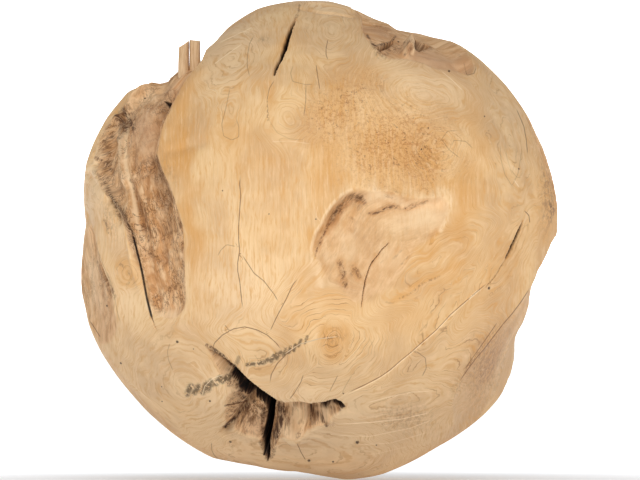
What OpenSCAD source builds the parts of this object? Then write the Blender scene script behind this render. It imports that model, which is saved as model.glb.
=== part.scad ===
// Ball of root wood: one solid piece, ground and sanded round, with the block's own hollows,
// drying cracks, knots and one flat place left in its surface.
//
// The front faces -Y. A place on the ball is [across, up], in degrees along the surface from
// the middle of a side, as seen from that side. A side is [azimuth, elevation] of its middle.

/* [Ball] */
// Diameter of the ball as turned
ball_d = 300; // [220:1:450]
// Angle between the rings of points that make the round surface
ring_step = 3.8; // [3.7:0.1:7.5]
// Height of the gentle swellings that the sanding left
swell_h = 3; // [0:0.5:6]

/* [Hollows] */
// Depth of the big rough hollow at the upper left
left_hollow_depth = 11; // [4:0.5:20]
// Extra depth of the furrow under the edge of the middle swelling
left_furrow_depth = 7; // [1:0.5:12]
// Depth of the shallow hollow at the lower left
low_left_depth = 6; // [2:0.5:12]
// Depth of the hollow at the upper right
top_hollow_depth = 11; // [4:0.5:18]
// Depth of the ear-shaped hollow right of the middle
ear_depth = 8; // [3:0.5:14]
// Extra depth of the crescent furrow round the ear's upper edge
crescent_depth = 5; // [1:0.5:9]
// Depth of the torn mouth below the sharp lip at the bottom
mouth_depth = 18; // [8:0.5:26]
// Depth of the hollows on the back, the right side and the underside
rear_hollow_depth = 9; // [3:0.5:16]
// Height of the torn fibres on the floors of the hollows
fibre_h = 1.2; // [0:0.1:2.5]

/* [Cracks] */
// Width of the widest drying cracks at the surface
crack_w = 2.8; // [1.5:0.1:5]
// Depth of the drying cracks
crack_depth = 14; // [5:0.5:24]
// Width of the fine cracks and of the ledge line
fine_crack_w = 1.5; // [0.8:0.1:2.5]
// Depth of the fine cracks
fine_crack_depth = 5; // [2:0.5:10]

/* [Holes] */
// Radius of the widest part of the cave behind the bottom lip
cave_r = 11; // [6:0.5:14]
// Reach of the cave into the wood, from the surface
cave_reach = 42; // [25:1:60]
// Radius of the deep hole in the upper right hollow
knothole_r = 5; // [3:0.5:7]
// Reach of that hole into the wood, from the surface
knothole_reach = 30; // [15:1:50]

/* [Flat and stub] */
// How much the flat at the lower right takes off the round
flat_depth = 14.5; // [4:0.5:20]
// Width of the split stub of wood at the upper left
stub_w = 14.5; // [8:0.5:20]
// Thickness of the stub, front to back
stub_t = 13; // [8:0.5:18]
// Height of the stub above the hollow's floor
stub_h = 15; // [8:0.5:18]
// Width of the split in the stub
split_w = 1.6; // [0.8:0.1:3]

/* [Hidden] */

ball_r = ball_d / 2;
wood = [0.86, 0.71, 0.52];
front = [0, 0];
right = [90, 0];
back = [180, 0];
under = [0, -90];

roof = 12; // how far the cutters stand out of the surface
flare = 0.05; // how far their roofs lean out past the outlines, as a share of the width
tiles = 8; // strips across the floor of a hollow
fibre_turn = 137.5; // phase step that keeps neighbouring fibres apart, degrees
round_n = 10; // faces round a sphere in the cave and the holes

// Long swellings of the sanded surface, which are the root's old limbs: the places where one
// begins and ends, its side, its height as a share of swell_h and its half width in degrees
limbs = [
  [[-17, 34], [-16, -16], front, 1.4, 14],
  [[46, 17], [11, -27], front, 1.2, 12],
  [[18, 44], [42, 34], front, 0.6, 13],
  [[-60, -32], [-34, -34], front, 0.5, 14],
  [[2, -23], [3, -25], front, 0.6, 8],
  [[-50, 30], [-8, -24], back, 0.9, 15],
  [[34, 44], [50, -8], back, 0.6, 13],
  [[14, -52], [-30, -50], back, 0.5, 15],
  [[6, 44], [12, 0], back, -0.5, 10],
];

// How far the rim of the front's outline stands off the round: angle from the right, share of swell_h
rim = [
  [0, -0.17], [10, 0.27], [40, 0.2], [55, -0.17], [79, -0.7], [88, -0.4], [105, -0.17], [113, -1.3], [119, -3],
  [124, -2.7], [132, -1], [138, -0.7], [142, 0.33], [150, 1], [162, 1.13], [176, -0.83], [190, 0.67],
  [200, 1.07], [215, 0.67], [244, 0.47], [254, -1], [264, -1.5], [276, 0.1], [285, 0.33],
  [300, -0.53], [320, -0.27], [340, -0.2], [360, -0.17],
];
rim_width = 0.42; // how far it reaches to the front and to the back, as a share of the radius

// Turns a direction laid out at the front to another side
function face(side, d) =
  let (
    y = d[1] * cos(side[1]) + d[2] * sin(side[1]),
    z = d[2] * cos(side[1]) - d[1] * sin(side[1])
  )
  [d[0] * cos(side[0]) - y * sin(side[0]), d[0] * sin(side[0]) + y * cos(side[0]), z];

// Direction of a place on a side
function toward(place, side) =
  let (
    far = norm(place),
    flat = far > 0 ? place / far : [0, 0]
  )
  face(side, [sin(far) * flat[0], -cos(far), sin(far) * flat[1]]);

// Share of swell_h that each limb adds in a direction: full along its middle, none past its sides
ends = [for (s = limbs) [toward(s[0], s[2]), toward(s[1], s[2])]];
function rise(d) = [
  for (i = [0:len(limbs) - 1])
    let (
      a = ends[i][0],
      run = ends[i][1] - a,
      along = min(1, max(0, (d - a) * run / (run * run))),
      off = norm(d - a - run * along) * 180 / PI / limbs[i][4]
    )
    off > 2 ? 0 : limbs[i][3] * exp(-pow(off, 4))
];
function total(v) = v * [for (x = v) 1];

// Share of swell_h that the rim adds in a direction
function edge(d) =
  let (turn = atan2(d[2], d[0]))
  lookup(turn < 0 ? turn + 360 : turn, rim) * exp(-pow(d[1] / rim_width, 2));

// Radius of the sanded surface in a direction
function skin(d) = ball_r + swell_h * (total(rise(d)) + edge(d));

// Point at a place, a height above the sanded surface
function spot(place, side, h) =
  let (d = toward(place, side))
  d * (skin(d) + h);

// Smooth curve through rows of numbers, with a number of steps from each row to the next
function spline(rows, steps) =
  let (last = len(rows) - 1)
  [
    for (i = [0:last - 1], s = [0:steps - 1])
      let (
        p = rows[max(0, i - 1)],
        q = rows[i],
        r = rows[i + 1],
        w = rows[min(last, i + 2)],
        t = s / steps
      )
      q + (r - p) * t / 2 + (2 * p - 5 * q + 4 * r - w) * t * t / 2
        + (3 * q - p - 3 * r + w) * t * t * t / 2,
    rows[last]
  ];

function ease(t) =
  let (u = min(1, max(0, t)))
  u * u * (3 - 2 * u);

// Sanded ball: rings of points from pole to pole, with as many points in a ring as its girth asks
module sanded_ball() {
  bands = ceil(180 / ring_step);
  girth = 360 / ring_step / 1.1;
  count = [for (k = [1:bands - 1]) max(6, round(girth * sin(180 * k / bands)))];
  first = [for (k = 0, at = 1; k < bands - 1; at = at + count[k], k = k + 1) at];
  rings = [
    for (k = [1:bands - 1], i = [0:count[k - 1] - 1])
      let (tilt = 180 * k / bands, turn = 360 * i / count[k - 1])
      [sin(tilt) * cos(turn), sin(tilt) * sin(turn), cos(tilt)]
  ];
  ways = concat([[0, 0, 1]], rings, [[0, 0, -1]]);
  south = len(ways) - 1;
  low = bands - 2;
  caps = concat(
    [for (i = [0:count[0] - 1]) [0, first[0] + (i + 1) % count[0], first[0] + i]],
    [for (i = [0:count[low] - 1]) [south, first[low] + i, first[low] + (i + 1) % count[low]]]
  );
  // Between two rings each edge makes a triangle with the point that faces its middle
  bands_up = [
    for (k = [0:low - 1], i = [0:count[k] - 1])
      let (n = count[k], m = count[k + 1], j = ceil((i + 0.5) * m / n - 0.5))
      [first[k] + i, first[k] + (i + 1) % n, first[k + 1] + j % m]
  ];
  bands_down = [
    for (k = [0:low - 1], j = [0:count[k + 1] - 1])
      let (n = count[k], m = count[k + 1], i = floor((j + 0.5) * n / m + 0.5))
      [first[k + 1] + (j + 1) % m, first[k + 1] + j, first[k] + i % n]
  ];
  polyhedron([for (d = ways) d * skin(d)], concat(caps, bands_up, bands_down));
}

// Solid through closed sections, with a point at each end
module loft(from, sections, to) {
  points = concat([from], [for (s = sections, p = s) p], [to]);
  size = len(sections[0]);
  end = len(points) - 1;
  polyhedron(points, concat(
    [for (j = [0:size - 1]) [0, 1 + j, 1 + (j + 1) % size]],
    [for (j = [0:size - 1]) [end, end - size + (j + 1) % size, end - size + j]],
    [
      for (i = [0:len(sections) - 2], j = [0:size - 1], half = [0, 1])
        let (
          a = 1 + i * size + j,
          b = 1 + i * size + (j + 1) % size
        )
        half == 0 ? [a, a + size, b] : [b, a + size, b + size]
    ]
  ));
}

// Cutter for a hollow. It runs from one tip to another through stations, each with the outline's
// two edges and its share of the depth: [left across, left up, right across, right up, share].
// Left is the left side where the hollow runs down the page. A slope is the share of the width
// that a side takes to reach the floor: small is a sharp wall. A planed hollow is cut straight
// from edge to edge instead, smooth and without slopes.
module hollow(
  from, stations, to, depth, left_slope, right_slope, side = front, steps = 2, planed = false
) {
  rows = spline(stations, steps);
  sections = [
    for (i = [0:len(rows) - 1])
      let (
        row = rows[i],
        left = [row[0], row[1]],
        wide = [row[2], row[3]] - left
      )
      concat(
        [
          for (j = [0:tiles])
            let (
              t = j / tiles,
              drop = planed ? 4 * t * (1 - t) : ease(t / left_slope) * ease((1 - t) / right_slope),
              wave = sin(j * fibre_turn + i * 41) * cos(i * fibre_turn / 4 + j * 23),
              torn = planed ? 0 : fibre_h * wave
            )
            spot(left + wide * t, side, row[4] * (torn - depth) * drop)
        ],
        [for (t = [1 + flare, 0.5, -flare]) spot(left + wide * t, side, roof)]
      )
  ];
  loft(spot(from, side, roof / 2), sections, spot(to, side, roof / 2));
}

// Cutter for a crack: a wedge that follows a path and runs out at both ends
module crack(path, w, depth, side = front, steps = 2) {
  run = spline(path, steps);
  last = len(run) - 1;
  half = w / 2 / ball_r * 180 / PI;
  sections = [
    for (i = [1:last - 1])
      let (
        along = run[i + 1] - run[i - 1],
        across = [-along[1], along[0]] / norm(along) * half,
        full = sqrt(sin(180 * i / last))
      )
      [
        spot(run[i] - across * full, side, 0),
        spot(run[i], side, -depth * full),
        spot(run[i] + across * full, side, 0),
        spot(run[i] + across * 1.5, side, roof / 2),
        spot(run[i] - across * 1.5, side, roof / 2),
      ]
  ];
  loft(spot(run[0], side, roof / 4), sections, spot(run[last], side, roof / 4));
}

// Rounded tunnel through spheres: place, depth and radius of each
module burrow(beads, side = front) {
  for (i = [0:len(beads) - 2])
    hull()
      for (b = [beads[i], beads[i + 1]])
        translate(spot(b[0], side, -b[1]))
          sphere(b[2], $fn = round_n);
}

// Split stub of wood that stands in the hollow at the upper left
module stub() {
  foot = toward([-46, 62], front) * (ball_r - left_hollow_depth);
  split = [split_w / 2, stub_h * 0.7];
  for (part = [[-stub_w / 2, -split_w / 2, 0.72, 0.98], [split_w / 2, stub_w / 2, 1, 0.94]])
    translate(foot)
      rotate([90, 0, 0])
        linear_extrude(stub_t, center = true)
          polygon([
            [part[0], -stub_h],
            [part[1], -stub_h],
            [part[1], stub_h * part[3]],
            [part[0], stub_h * part[2]],
          ]);
  // The split closes towards the stub's root
  translate(foot)
    rotate([90, 0, 0])
      linear_extrude(stub_t, center = true)
        polygon([[-split[0], -stub_h], [split[0], -stub_h], [0, split[1] - stub_h]]);
}

module front_hollows() {
  // Big hollow at the upper left, from behind the top down between rim and middle swelling
  hollow(
    [-53, 113],
    [
      [-77, 86, -39, 106, 0.7],
      [-74, 71, -33, 91, 1],
      [-67, 62, -33, 73, 1],
      [-66, 56, -36, 54, 1],
      [-75, 48, -39, 43, 1],
      [-77, 40, -42, 33, 1],
      [-75, 30, -43, 25, 1],
      [-69, 17, -38, 14, 0.9],
      [-55, 9, -35, 6, 0.85],
      [-50, -2, -33.5, -2, 0.75],
      [-47, -10, -33.5, -10, 0.6],
      [-44.5, -17, -34.5, -17, 0.4],
    ],
    [-41, -22],
    left_hollow_depth, 0.1, 0.12
  );
  // Furrow under the edge of the middle swelling
  hollow(
    [-40, 52],
    [
      [-50, 42, -40.5, 40, 0.7],
      [-54, 32, -43, 30, 1],
      [-53, 22, -42, 22, 1],
      [-50, 13, -38, 13, 0.8],
      [-46, 4, -35.5, 4, 0.65],
      [-44, -6, -34.5, -6, 0.5],
    ],
    [-39, -16],
    left_hollow_depth + left_furrow_depth, 0.5, 0.2
  );
  // Furrow behind the rim
  hollow(
    [-66, 52],
    [
      [-73, 44, -62, 44, 0.8],
      [-75, 34, -64, 34, 1],
      [-70, 22, -60, 24, 1],
    ],
    [-58, 12],
    left_hollow_depth + left_furrow_depth * 0.3, 0.3, 0.4
  );
  // Shallow hollow at the lower left
  hollow(
    [-73, 9],
    [
      [-88, 2, -72, 3, 0.8],
      [-92, -8, -65, -4, 0.9],
      [-91, -18, -60, -14, 1],
      [-88, -28, -58, -23, 0.8],
    ],
    [-68, -38],
    low_left_depth, 0.45, 0.12
  );
  // Hollow at the upper right, over the top edge of the view
  hollow(
    [11, 71],
    [
      [15, 56, 13, 90, 0.8],
      [19, 49.5, 20, 107, 1],
      [28, 48.5, 36, 106, 1],
      [38, 48.5, 48, 94, 0.95],
      [45.5, 50.5, 52.5, 74, 0.65],
    ],
    [51, 59],
    top_hollow_depth, 0.12, 0.36
  );
  hollow(
    [10, 64],
    [
      [15, 56, 13, 64, 0.8],
      [19, 52, 19, 63, 1],
      [25, 52, 26, 61, 0.8],
    ],
    [29, 56],
    top_hollow_depth * 1.5, 0.3, 0.4
  );
  // Ear-shaped hollow right of the middle
  hollow(
    [14, 13],
    [
      [5.5, 10, 24, 10.5, 0.8],
      [2.5, 7.5, 32, 9.5, 0.9],
      [0.5, 4.5, 31.5, 5.5, 0.8],
      [-1, 1.5, 29, 1, 0.7],
      [-2, -2, 25, -3, 0.6],
      [-1.5, -6, 22, -7, 0.5],
      [0, -10, 19, -11, 0.3],
    ],
    [8, -17],
    ear_depth, 0.15, 0.6
  );
  hollow(
    [19, 12],
    [
      [13, 11.5, 12, 7.5, 0.6],
      [6.5, 11, 7.5, 6.5, 1],
      [2, 7, 5, 3.5, 1],
      [-0.5, 1, 3.5, -1, 0.8],
    ],
    [0, -8],
    ear_depth * 0.8 + crescent_depth, 0.3, 0.5
  );
  // Flat at the lower right, below a ledge, and on over the edge of the view
  hollow(
    [87, 6],
    [
      [74, -1.5, 104, -2, 0.6],
      [65, -9, 111, -15.5, 1.1],
      [57.5, -17.5, 113, -34.5, 0.95],
      [51, -24, 107, -50, 0.95],
      [45, -29.5, 87, -56.5, 0.8],
      [41, -34.5, 73, -61, 0.55],
      [38, -41, 61.5, -66, 0.45],
      [38, -46.5, 54, -67, 0.3],
    ],
    [43.5, -62],
    flat_depth, 0, 0, planed = true
  );
  // Torn mouth below the sharp lip at the bottom
  hollow(
    [-30, -26],
    [
      [-28, -34, -25.5, -30, 0.3],
      [-26, -40, -21, -33, 0.6],
      [-27, -50, -18, -36, 0.9],
      [-21, -58, -14.5, -39, 1],
      [-14, -66, -11, -41.5, 0.75],
      [-8, -55, -6, -42, 0.35],
      [1, -50, 0, -42, 0.3],
    ],
    [7, -44],
    mouth_depth, 0.45, 0.1
  );
}

module rear_hollows() {
  hollow(
    [-34, 30],
    [
      [-44, 20, -26, 22, 0.6],
      [-46, 8, -22, 8, 1],
      [-42, -6, -20, -4, 0.9],
      [-34, -18, -20, -16, 0.5],
    ],
    [-24, -28],
    rear_hollow_depth, 0.2, 0.5, back
  );
  hollow(
    [26, 52],
    [
      [18, 42, 38, 44, 0.7],
      [20, 32, 42, 34, 0.8],
      [28, 22, 40, 26, 0.5],
    ],
    [38, 16],
    rear_hollow_depth, 0.5, 0.2, back
  );
  hollow(
    [-6, 34],
    [
      [-14, 24, 6, 26, 0.6],
      [-14, 12, 10, 12, 0.8],
      [-8, 0, 8, 2, 0.5],
    ],
    [2, -10],
    rear_hollow_depth * 0.8, 0.4, 0.25, right
  );
  hollow(
    [-18, 2],
    [
      [-18, -14, -12, 4, 0.6],
      [-4, -20, 0, -2, 0.9],
      [12, -20, 14, -6, 0.6],
    ],
    [24, -14],
    rear_hollow_depth, 0.3, 0.4, under
  );
}

module cracks() {
  // Left hollow, top, ear and right side
  crack([[-60, 14], [-55, 8.5], [-52, 4], [-50, -1], [-48.5, -7], [-46, -14], [-45, -20], [-43, -25]],
    crack_w, left_hollow_depth + crack_depth);
  crack([[-6, 74], [-7, 66], [-9, 57], [-10, 50], [-11.5, 43], [-13, 37], [-13, 29]], crack_w, crack_depth);
  crack([[16.5, 0], [14.5, -2.5], [12, -7], [10.5, -12], [9, -18]],
    fine_crack_w, ear_depth + fine_crack_depth);
  crack([[56.5, 6], [54, 1.5], [51, -3.5], [47, -8], [42, -12.5]], crack_w * 0.8, crack_depth);
  // Ledge line, from the right side round under the knot
  crack([[42, -12], [36, -16.5], [29, -22.5], [21, -30], [15, -35], [9, -38], [4, -41]],
    fine_crack_w, fine_crack_depth);
  // Seam under the raised pad at the top
  crack([[-8, 77], [-5, 73], [2, 70], [9, 70], [14, 73]], fine_crack_w, fine_crack_depth);
  // Fine crack down the middle swelling
  crack([[-19, 14], [-19.5, 6], [-19.5, -4], [-19.5, -12], [-18, -18]], fine_crack_w * 0.7, fine_crack_depth);
  // Back, right side and underside
  crack([[-30, 26], [-33, 14], [-31, 2], [-33, -10], [-27, -24], [-29, -38]],
    crack_w, rear_hollow_depth + crack_depth, back);
  crack([[8, 30], [11, 18], [9, 6], [12, -6], [10, -16]], fine_crack_w, fine_crack_depth, back);
  crack([[2, 26], [-2, 14], [1, 2], [-3, -12]], fine_crack_w, rear_hollow_depth + fine_crack_depth, right);
  crack([[-20, -6], [-8, -10], [4, -8], [16, -14]], crack_w, rear_hollow_depth + crack_depth, under);
}

module holes() {
  // Cave behind the bottom lip, with a slot that runs down from it
  burrow([
    [[-27, -40], mouth_depth * 0.9, cave_r * 0.5],
    [[-21, -46], mouth_depth + cave_r * 0.3, cave_r * 0.9],
    [[-16, -52], mouth_depth + cave_r * 0.3, cave_r * 0.6],
    [[-15.3, -57], mouth_depth * 0.75, cave_r * 0.45],
    [[-15.6, -62], mouth_depth * 0.2, cave_r * 0.38],
    [[-15.8, -66], mouth_depth * 0.05, cave_r * 0.3],
  ]);
  burrow([
    [[-21, -46], mouth_depth + cave_r * 0.3, cave_r * 0.9],
    [[-14, -36], cave_reach - cave_r * 0.6, cave_r * 0.6],
  ]);
  burrow([
    [[1.5, -43.5], mouth_depth * 0.3, cave_r * 0.35],
    [[5, -43.5], mouth_depth * 0.4, cave_r * 0.4],
  ]);
  // Knot hole at the upper right
  burrow([
    [[33, 67], top_hollow_depth * 0.8, knothole_r * 0.8],
    [[37, 69], top_hollow_depth, knothole_r],
    [[40, 66], top_hollow_depth, knothole_r * 0.7],
  ]);
  burrow([
    [[37, 69], top_hollow_depth, knothole_r],
    [[35, 62], knothole_reach, knothole_r * 0.5],
  ]);
  // Small holes in the left hollow
  burrow([
    [[-44, 36], left_hollow_depth + left_furrow_depth, 2.6],
    [[-41, 35], left_hollow_depth + left_furrow_depth, 3.4],
  ]);
}

module ball() {
  color(wood) {
    difference() {
      sanded_ball();
      front_hollows();
      rear_hollows();
      cracks();
      holes();
    }
    stub();
  }
}

ball();
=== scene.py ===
import math

import bmesh
import bpy
import numpy as np
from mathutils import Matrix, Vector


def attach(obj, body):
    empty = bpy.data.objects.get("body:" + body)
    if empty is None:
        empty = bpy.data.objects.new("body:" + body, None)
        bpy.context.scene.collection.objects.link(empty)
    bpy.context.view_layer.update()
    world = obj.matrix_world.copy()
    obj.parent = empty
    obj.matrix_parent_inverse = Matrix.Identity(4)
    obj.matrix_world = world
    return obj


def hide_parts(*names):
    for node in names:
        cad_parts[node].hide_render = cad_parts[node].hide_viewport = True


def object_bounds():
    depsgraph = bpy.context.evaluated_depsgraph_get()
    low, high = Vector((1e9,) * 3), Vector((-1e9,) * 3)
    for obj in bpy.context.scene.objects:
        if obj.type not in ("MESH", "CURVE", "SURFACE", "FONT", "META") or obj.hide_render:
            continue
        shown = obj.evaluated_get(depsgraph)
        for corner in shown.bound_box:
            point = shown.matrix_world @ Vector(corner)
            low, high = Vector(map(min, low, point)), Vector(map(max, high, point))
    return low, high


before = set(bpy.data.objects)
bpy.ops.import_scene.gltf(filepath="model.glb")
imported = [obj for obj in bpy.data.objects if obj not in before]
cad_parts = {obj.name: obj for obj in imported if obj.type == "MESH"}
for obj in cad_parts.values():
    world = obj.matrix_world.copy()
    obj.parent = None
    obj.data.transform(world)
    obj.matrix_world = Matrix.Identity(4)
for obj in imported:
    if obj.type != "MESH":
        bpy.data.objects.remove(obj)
cadLow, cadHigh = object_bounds()

# What a user may change about the ball. Lengths are in millimetres.
ball = {
    "radius": 150.0,
    "swellings": 3.0,       # height of the long swellings that the sanding left
    "rimWidth": 0.42,       # how far the rim's form reaches forwards and back, times the radius
    "flatDepth": 14.5,      # how deep the flat at the lower right was planed
    "fibres": 0.55,         # height of the torn fibres in the hollows
    "ringGap": 4.4,         # pixels between two growth rings on the smooth middle
    "bump": 0.35,           # strength of the fine relief in the shader
    "fit": (-4.5, 3.0),     # how far the outline may be moved in and out to the measured one
    "plainEdge": 2.4,       # size of the triangles on the smooth wood
    "backEdge": 4.8,        # the same on the side away from the front
    "grading": 0.5,         # how fast the triangles grow away from a fine feature
    "passes": 6,            # how often the triangles are split at most
    "boxGap": 0.1,          # how far the surface stays inside the solid's box
}
anywhere = 400.0            # millimetres, further than two places of the ball lie apart

# Places on the front are pixels of the front view, 640 by 480, in which the ball has this
# middle and radius. Places on a hidden side are degrees [across, up] from the side's middle.
viewMiddle = (320.0, 239.5)
viewRadius = 241.0
front, right, back, under = (0, 0), (90, 0), (180, 0), (0, -90)


def unit(v):
    return v / np.maximum(np.linalg.norm(v, axis=-1, keepdims=True), 1e-12)


def seen(path, sunk=0.0):
    # Directions of places given in pixels of the front view, where the surface lies this far
    # below the round
    p = (np.array(path, float) - viewMiddle) / viewRadius / (1 - sunk / ball["radius"])
    far = np.maximum(np.hypot(p[:, 0], p[:, 1]) / 0.9985, 1)
    x, z = p[:, 0] / far, -p[:, 1] / far
    return np.stack([x, -np.sqrt(1 - x * x - z * z), z], 1)


def placed(path, side=front):
    # Directions of places given in degrees on a side
    p = np.array(path, float)
    far = np.linalg.norm(p, axis=1)
    aim = p / np.maximum(far, 1e-9)[:, None]
    far = np.radians(far)
    d = np.stack([np.sin(far) * aim[:, 0], -np.cos(far), np.sin(far) * aim[:, 1]], 1)
    turn, tilt = math.radians(side[0]), math.radians(side[1])
    x = d[:, 0]
    y = d[:, 1] * math.cos(tilt) + d[:, 2] * math.sin(tilt)
    z = d[:, 2] * math.cos(tilt) - d[:, 1] * math.sin(tilt)
    return np.stack([x * math.cos(turn) - y * math.sin(turn), x * math.sin(turn) + y * math.cos(turn), z], 1)


def finer(path):
    # The same path with four more places on each of its lengths
    t = np.linspace(0, len(path) - 1, 5 * (len(path) - 1) + 1)
    return unit(np.stack([np.interp(t, np.arange(len(path)), path[:, k]) for k in range(3)], 1))


def ease(t):
    t = np.clip(t, 0, 1)
    return t * t * (3 - 2 * t)


def tapered(at, share):
    # 1 along the middle of a path, falling to nought over this share of it at both ends
    return ease(at / share) * ease((1 - at) / share)


def noise(p, seed=0):
    # Smooth noise from -1 to 1, with lumps one unit across
    cell = np.floor(p).astype(np.int64)
    t = ease(p - cell)
    total = 0
    for corner in range(8):
        step = np.array([corner & 1, corner >> 1 & 1, corner >> 2])
        k = cell + step
        h = (k[:, 0] * 374761393 + k[:, 1] * 668265263 + k[:, 2] * 1442695041 + seed * 974634777) & 0xFFFFFFFF
        h = ((h ^ (h >> 13)) * 1274126177) & 0xFFFFFFFF
        value = ((h ^ (h >> 16)) & 0xFFFF) / 32767.5 - 1
        total = total + value * np.prod(np.where(step, t, 1 - t), axis=1)
    return total


def layered(p, seed, layers=3, share=0.5):
    total, size = 0, 1.0
    for k in range(layers):
        total = total + noise(p * 2.0**k, seed + k) * size
        size *= share
    return total


def closest(spots, path, leftOf):
    # How far off a path these spots lie, signed by the side of it, and how far along it, from
    # 0 to 1. leftOf gives the way to the path's left from a start and a run
    runs = path[1:] - path[:-1]
    lengths = np.linalg.norm(runs, axis=1)
    done = np.concatenate([[0], np.cumsum(lengths)])
    best, side, at = np.full(len(spots), 1e9), np.ones(len(spots)), np.zeros(len(spots))
    for start, run, length, before in zip(path, runs, lengths, done):
        if length < 1e-9:
            continue
        out = spots - start
        t = np.clip(out @ run / (run @ run), 0, 1)
        off = out - t[:, None] * run
        far = np.linalg.norm(off, axis=1)
        closer = far < best
        best = np.where(closer, far, best)
        at = np.where(closer, (before + t * length) / done[-1], at)
        side = np.where(closer, np.where(off @ leftOf(start, run) < 0, -1.0, 1.0), side)
    return side * best, at


def near(ways, path, reach):
    # The ways within reach of a path, and how far off and along it they lie, in millimetres
    middle = unit(path.mean(0))
    spread = np.linalg.norm(path - middle, axis=1).max() + reach / ball["radius"]
    found = np.flatnonzero(np.linalg.norm(ways - middle, axis=1) < spread)
    far, at = closest(ways[found], path, np.cross)
    return found, far * ball["radius"], at


def tracked(u, v, shown, path, reach):
    # The same for the shown places within reach of a path, all in pixels
    p = np.array(path, float)
    low, high = p.min(0) - reach, p.max(0) + reach
    found = np.flatnonzero(shown & (u > low[0]) & (u < high[0]) & (v > low[1]) & (v < high[1]))
    spots = np.stack([u[found], v[found]], 1)
    far, at = closest(spots, p, lambda start, run: np.array([-run[1], run[0]]))
    return found, far, at


def within(ways, border):
    # Whether the ways lie inside a closed outline
    middle = unit(border.mean(0))
    across = unit(np.cross(middle, [0.13, 0.31, 0.94]))
    up = np.cross(middle, across)

    def unrolled(w):
        angle = np.arccos(np.clip(w @ middle, -1, 1))
        grow = angle / np.maximum(np.sin(angle), 1e-6)
        return np.stack([w @ across * grow, w @ up * grow], 1)

    corners, spots = unrolled(border), unrolled(ways)
    inside = np.zeros(len(ways), bool)
    for (ax, ay), (bx, by) in zip(corners, np.roll(corners, -1, axis=0)):
        crosses = (ay > spots[:, 1]) != (by > spots[:, 1])
        if ay != by:
            reach = ax + (spots[:, 1] - ay) * (bx - ax) / (by - ay)
            inside ^= crosses & (spots[:, 0] < reach)
    return inside


def oval(u, v, row):
    # Distance from a row's middle, in its half sizes
    (cu, cv), (a, b), turn = row[:3]
    c, s = math.cos(math.radians(turn)), math.sin(math.radians(turn))
    du, dv = u - cu, v - cv
    return np.hypot((du * c + dv * s) / a, (dv * c - du * s) / b)


def refine(made, found, far, fine, grow=ball["grading"]):
    # Triangles as fine as this where far is nought, and larger with the distance
    made["edge"][found] = np.minimum(made["edge"][found], fine + grow * np.maximum(far, 0))


# Long swellings: two ends in degrees, side, share of the height, half width in degrees
swellings = [
    ((-17, 34), (-16, -16), front, 1.4, 14), ((46, 17), (11, -27), front, 1.2, 12),
    ((18, 44), (42, 34), front, 0.6, 13), ((-60, -32), (-34, -34), front, 0.5, 14),
    ((2, -23), (3, -25), front, 0.6, 8), ((-50, 30), (-8, -24), back, 0.9, 15),
    ((34, 44), (50, -8), back, 0.6, 13), ((14, -52), (-30, -50), back, 0.5, 15),
    ((6, 44), (12, 0), back, -0.5, 10),
]

# How far the rim of the front view stands off the round, without the hollows: angle in degrees
# from the right, share of the swellings' height
rim = [
    (0, -0.17), (10, 0.27), (40, 0.2), (55, -0.17), (79, -0.7), (88, -0.4), (105, -0.17), (113, -1.3),
    (119, -3), (124, -2.7), (132, -1), (138, -0.7), (142, 0.33), (150, 1), (162, 1.13), (176, -0.83),
    (190, 0.67), (200, 1.07), (215, 0.67), (244, 0.47), (254, -1), (264, -1.5), (276, 0.1), (285, 0.33),
    (300, -0.53), (320, -0.27), (340, -0.2), (360, -0.17),
]


def swell(ways, made):
    for a, b, side, share, wide in swellings:
        found, far, _ = near(ways, placed([a, b], side), 6 * wide)
        bell = np.exp(-((np.abs(far) / ball["radius"] / math.radians(wide)) ** 4))
        made["height"][found] += ball["swellings"] * share * bell
    angle = np.degrees(np.arctan2(ways[:, 2], ways[:, 0])) % 360
    band = np.exp(-((ways[:, 1] / ball["rimWidth"]) ** 2))
    made["height"] += ball["swellings"] * np.interp(angle, *zip(*rim)) * band
    made["height"] += 0.4 * layered(ways * 4.5, 5, 2)


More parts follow.
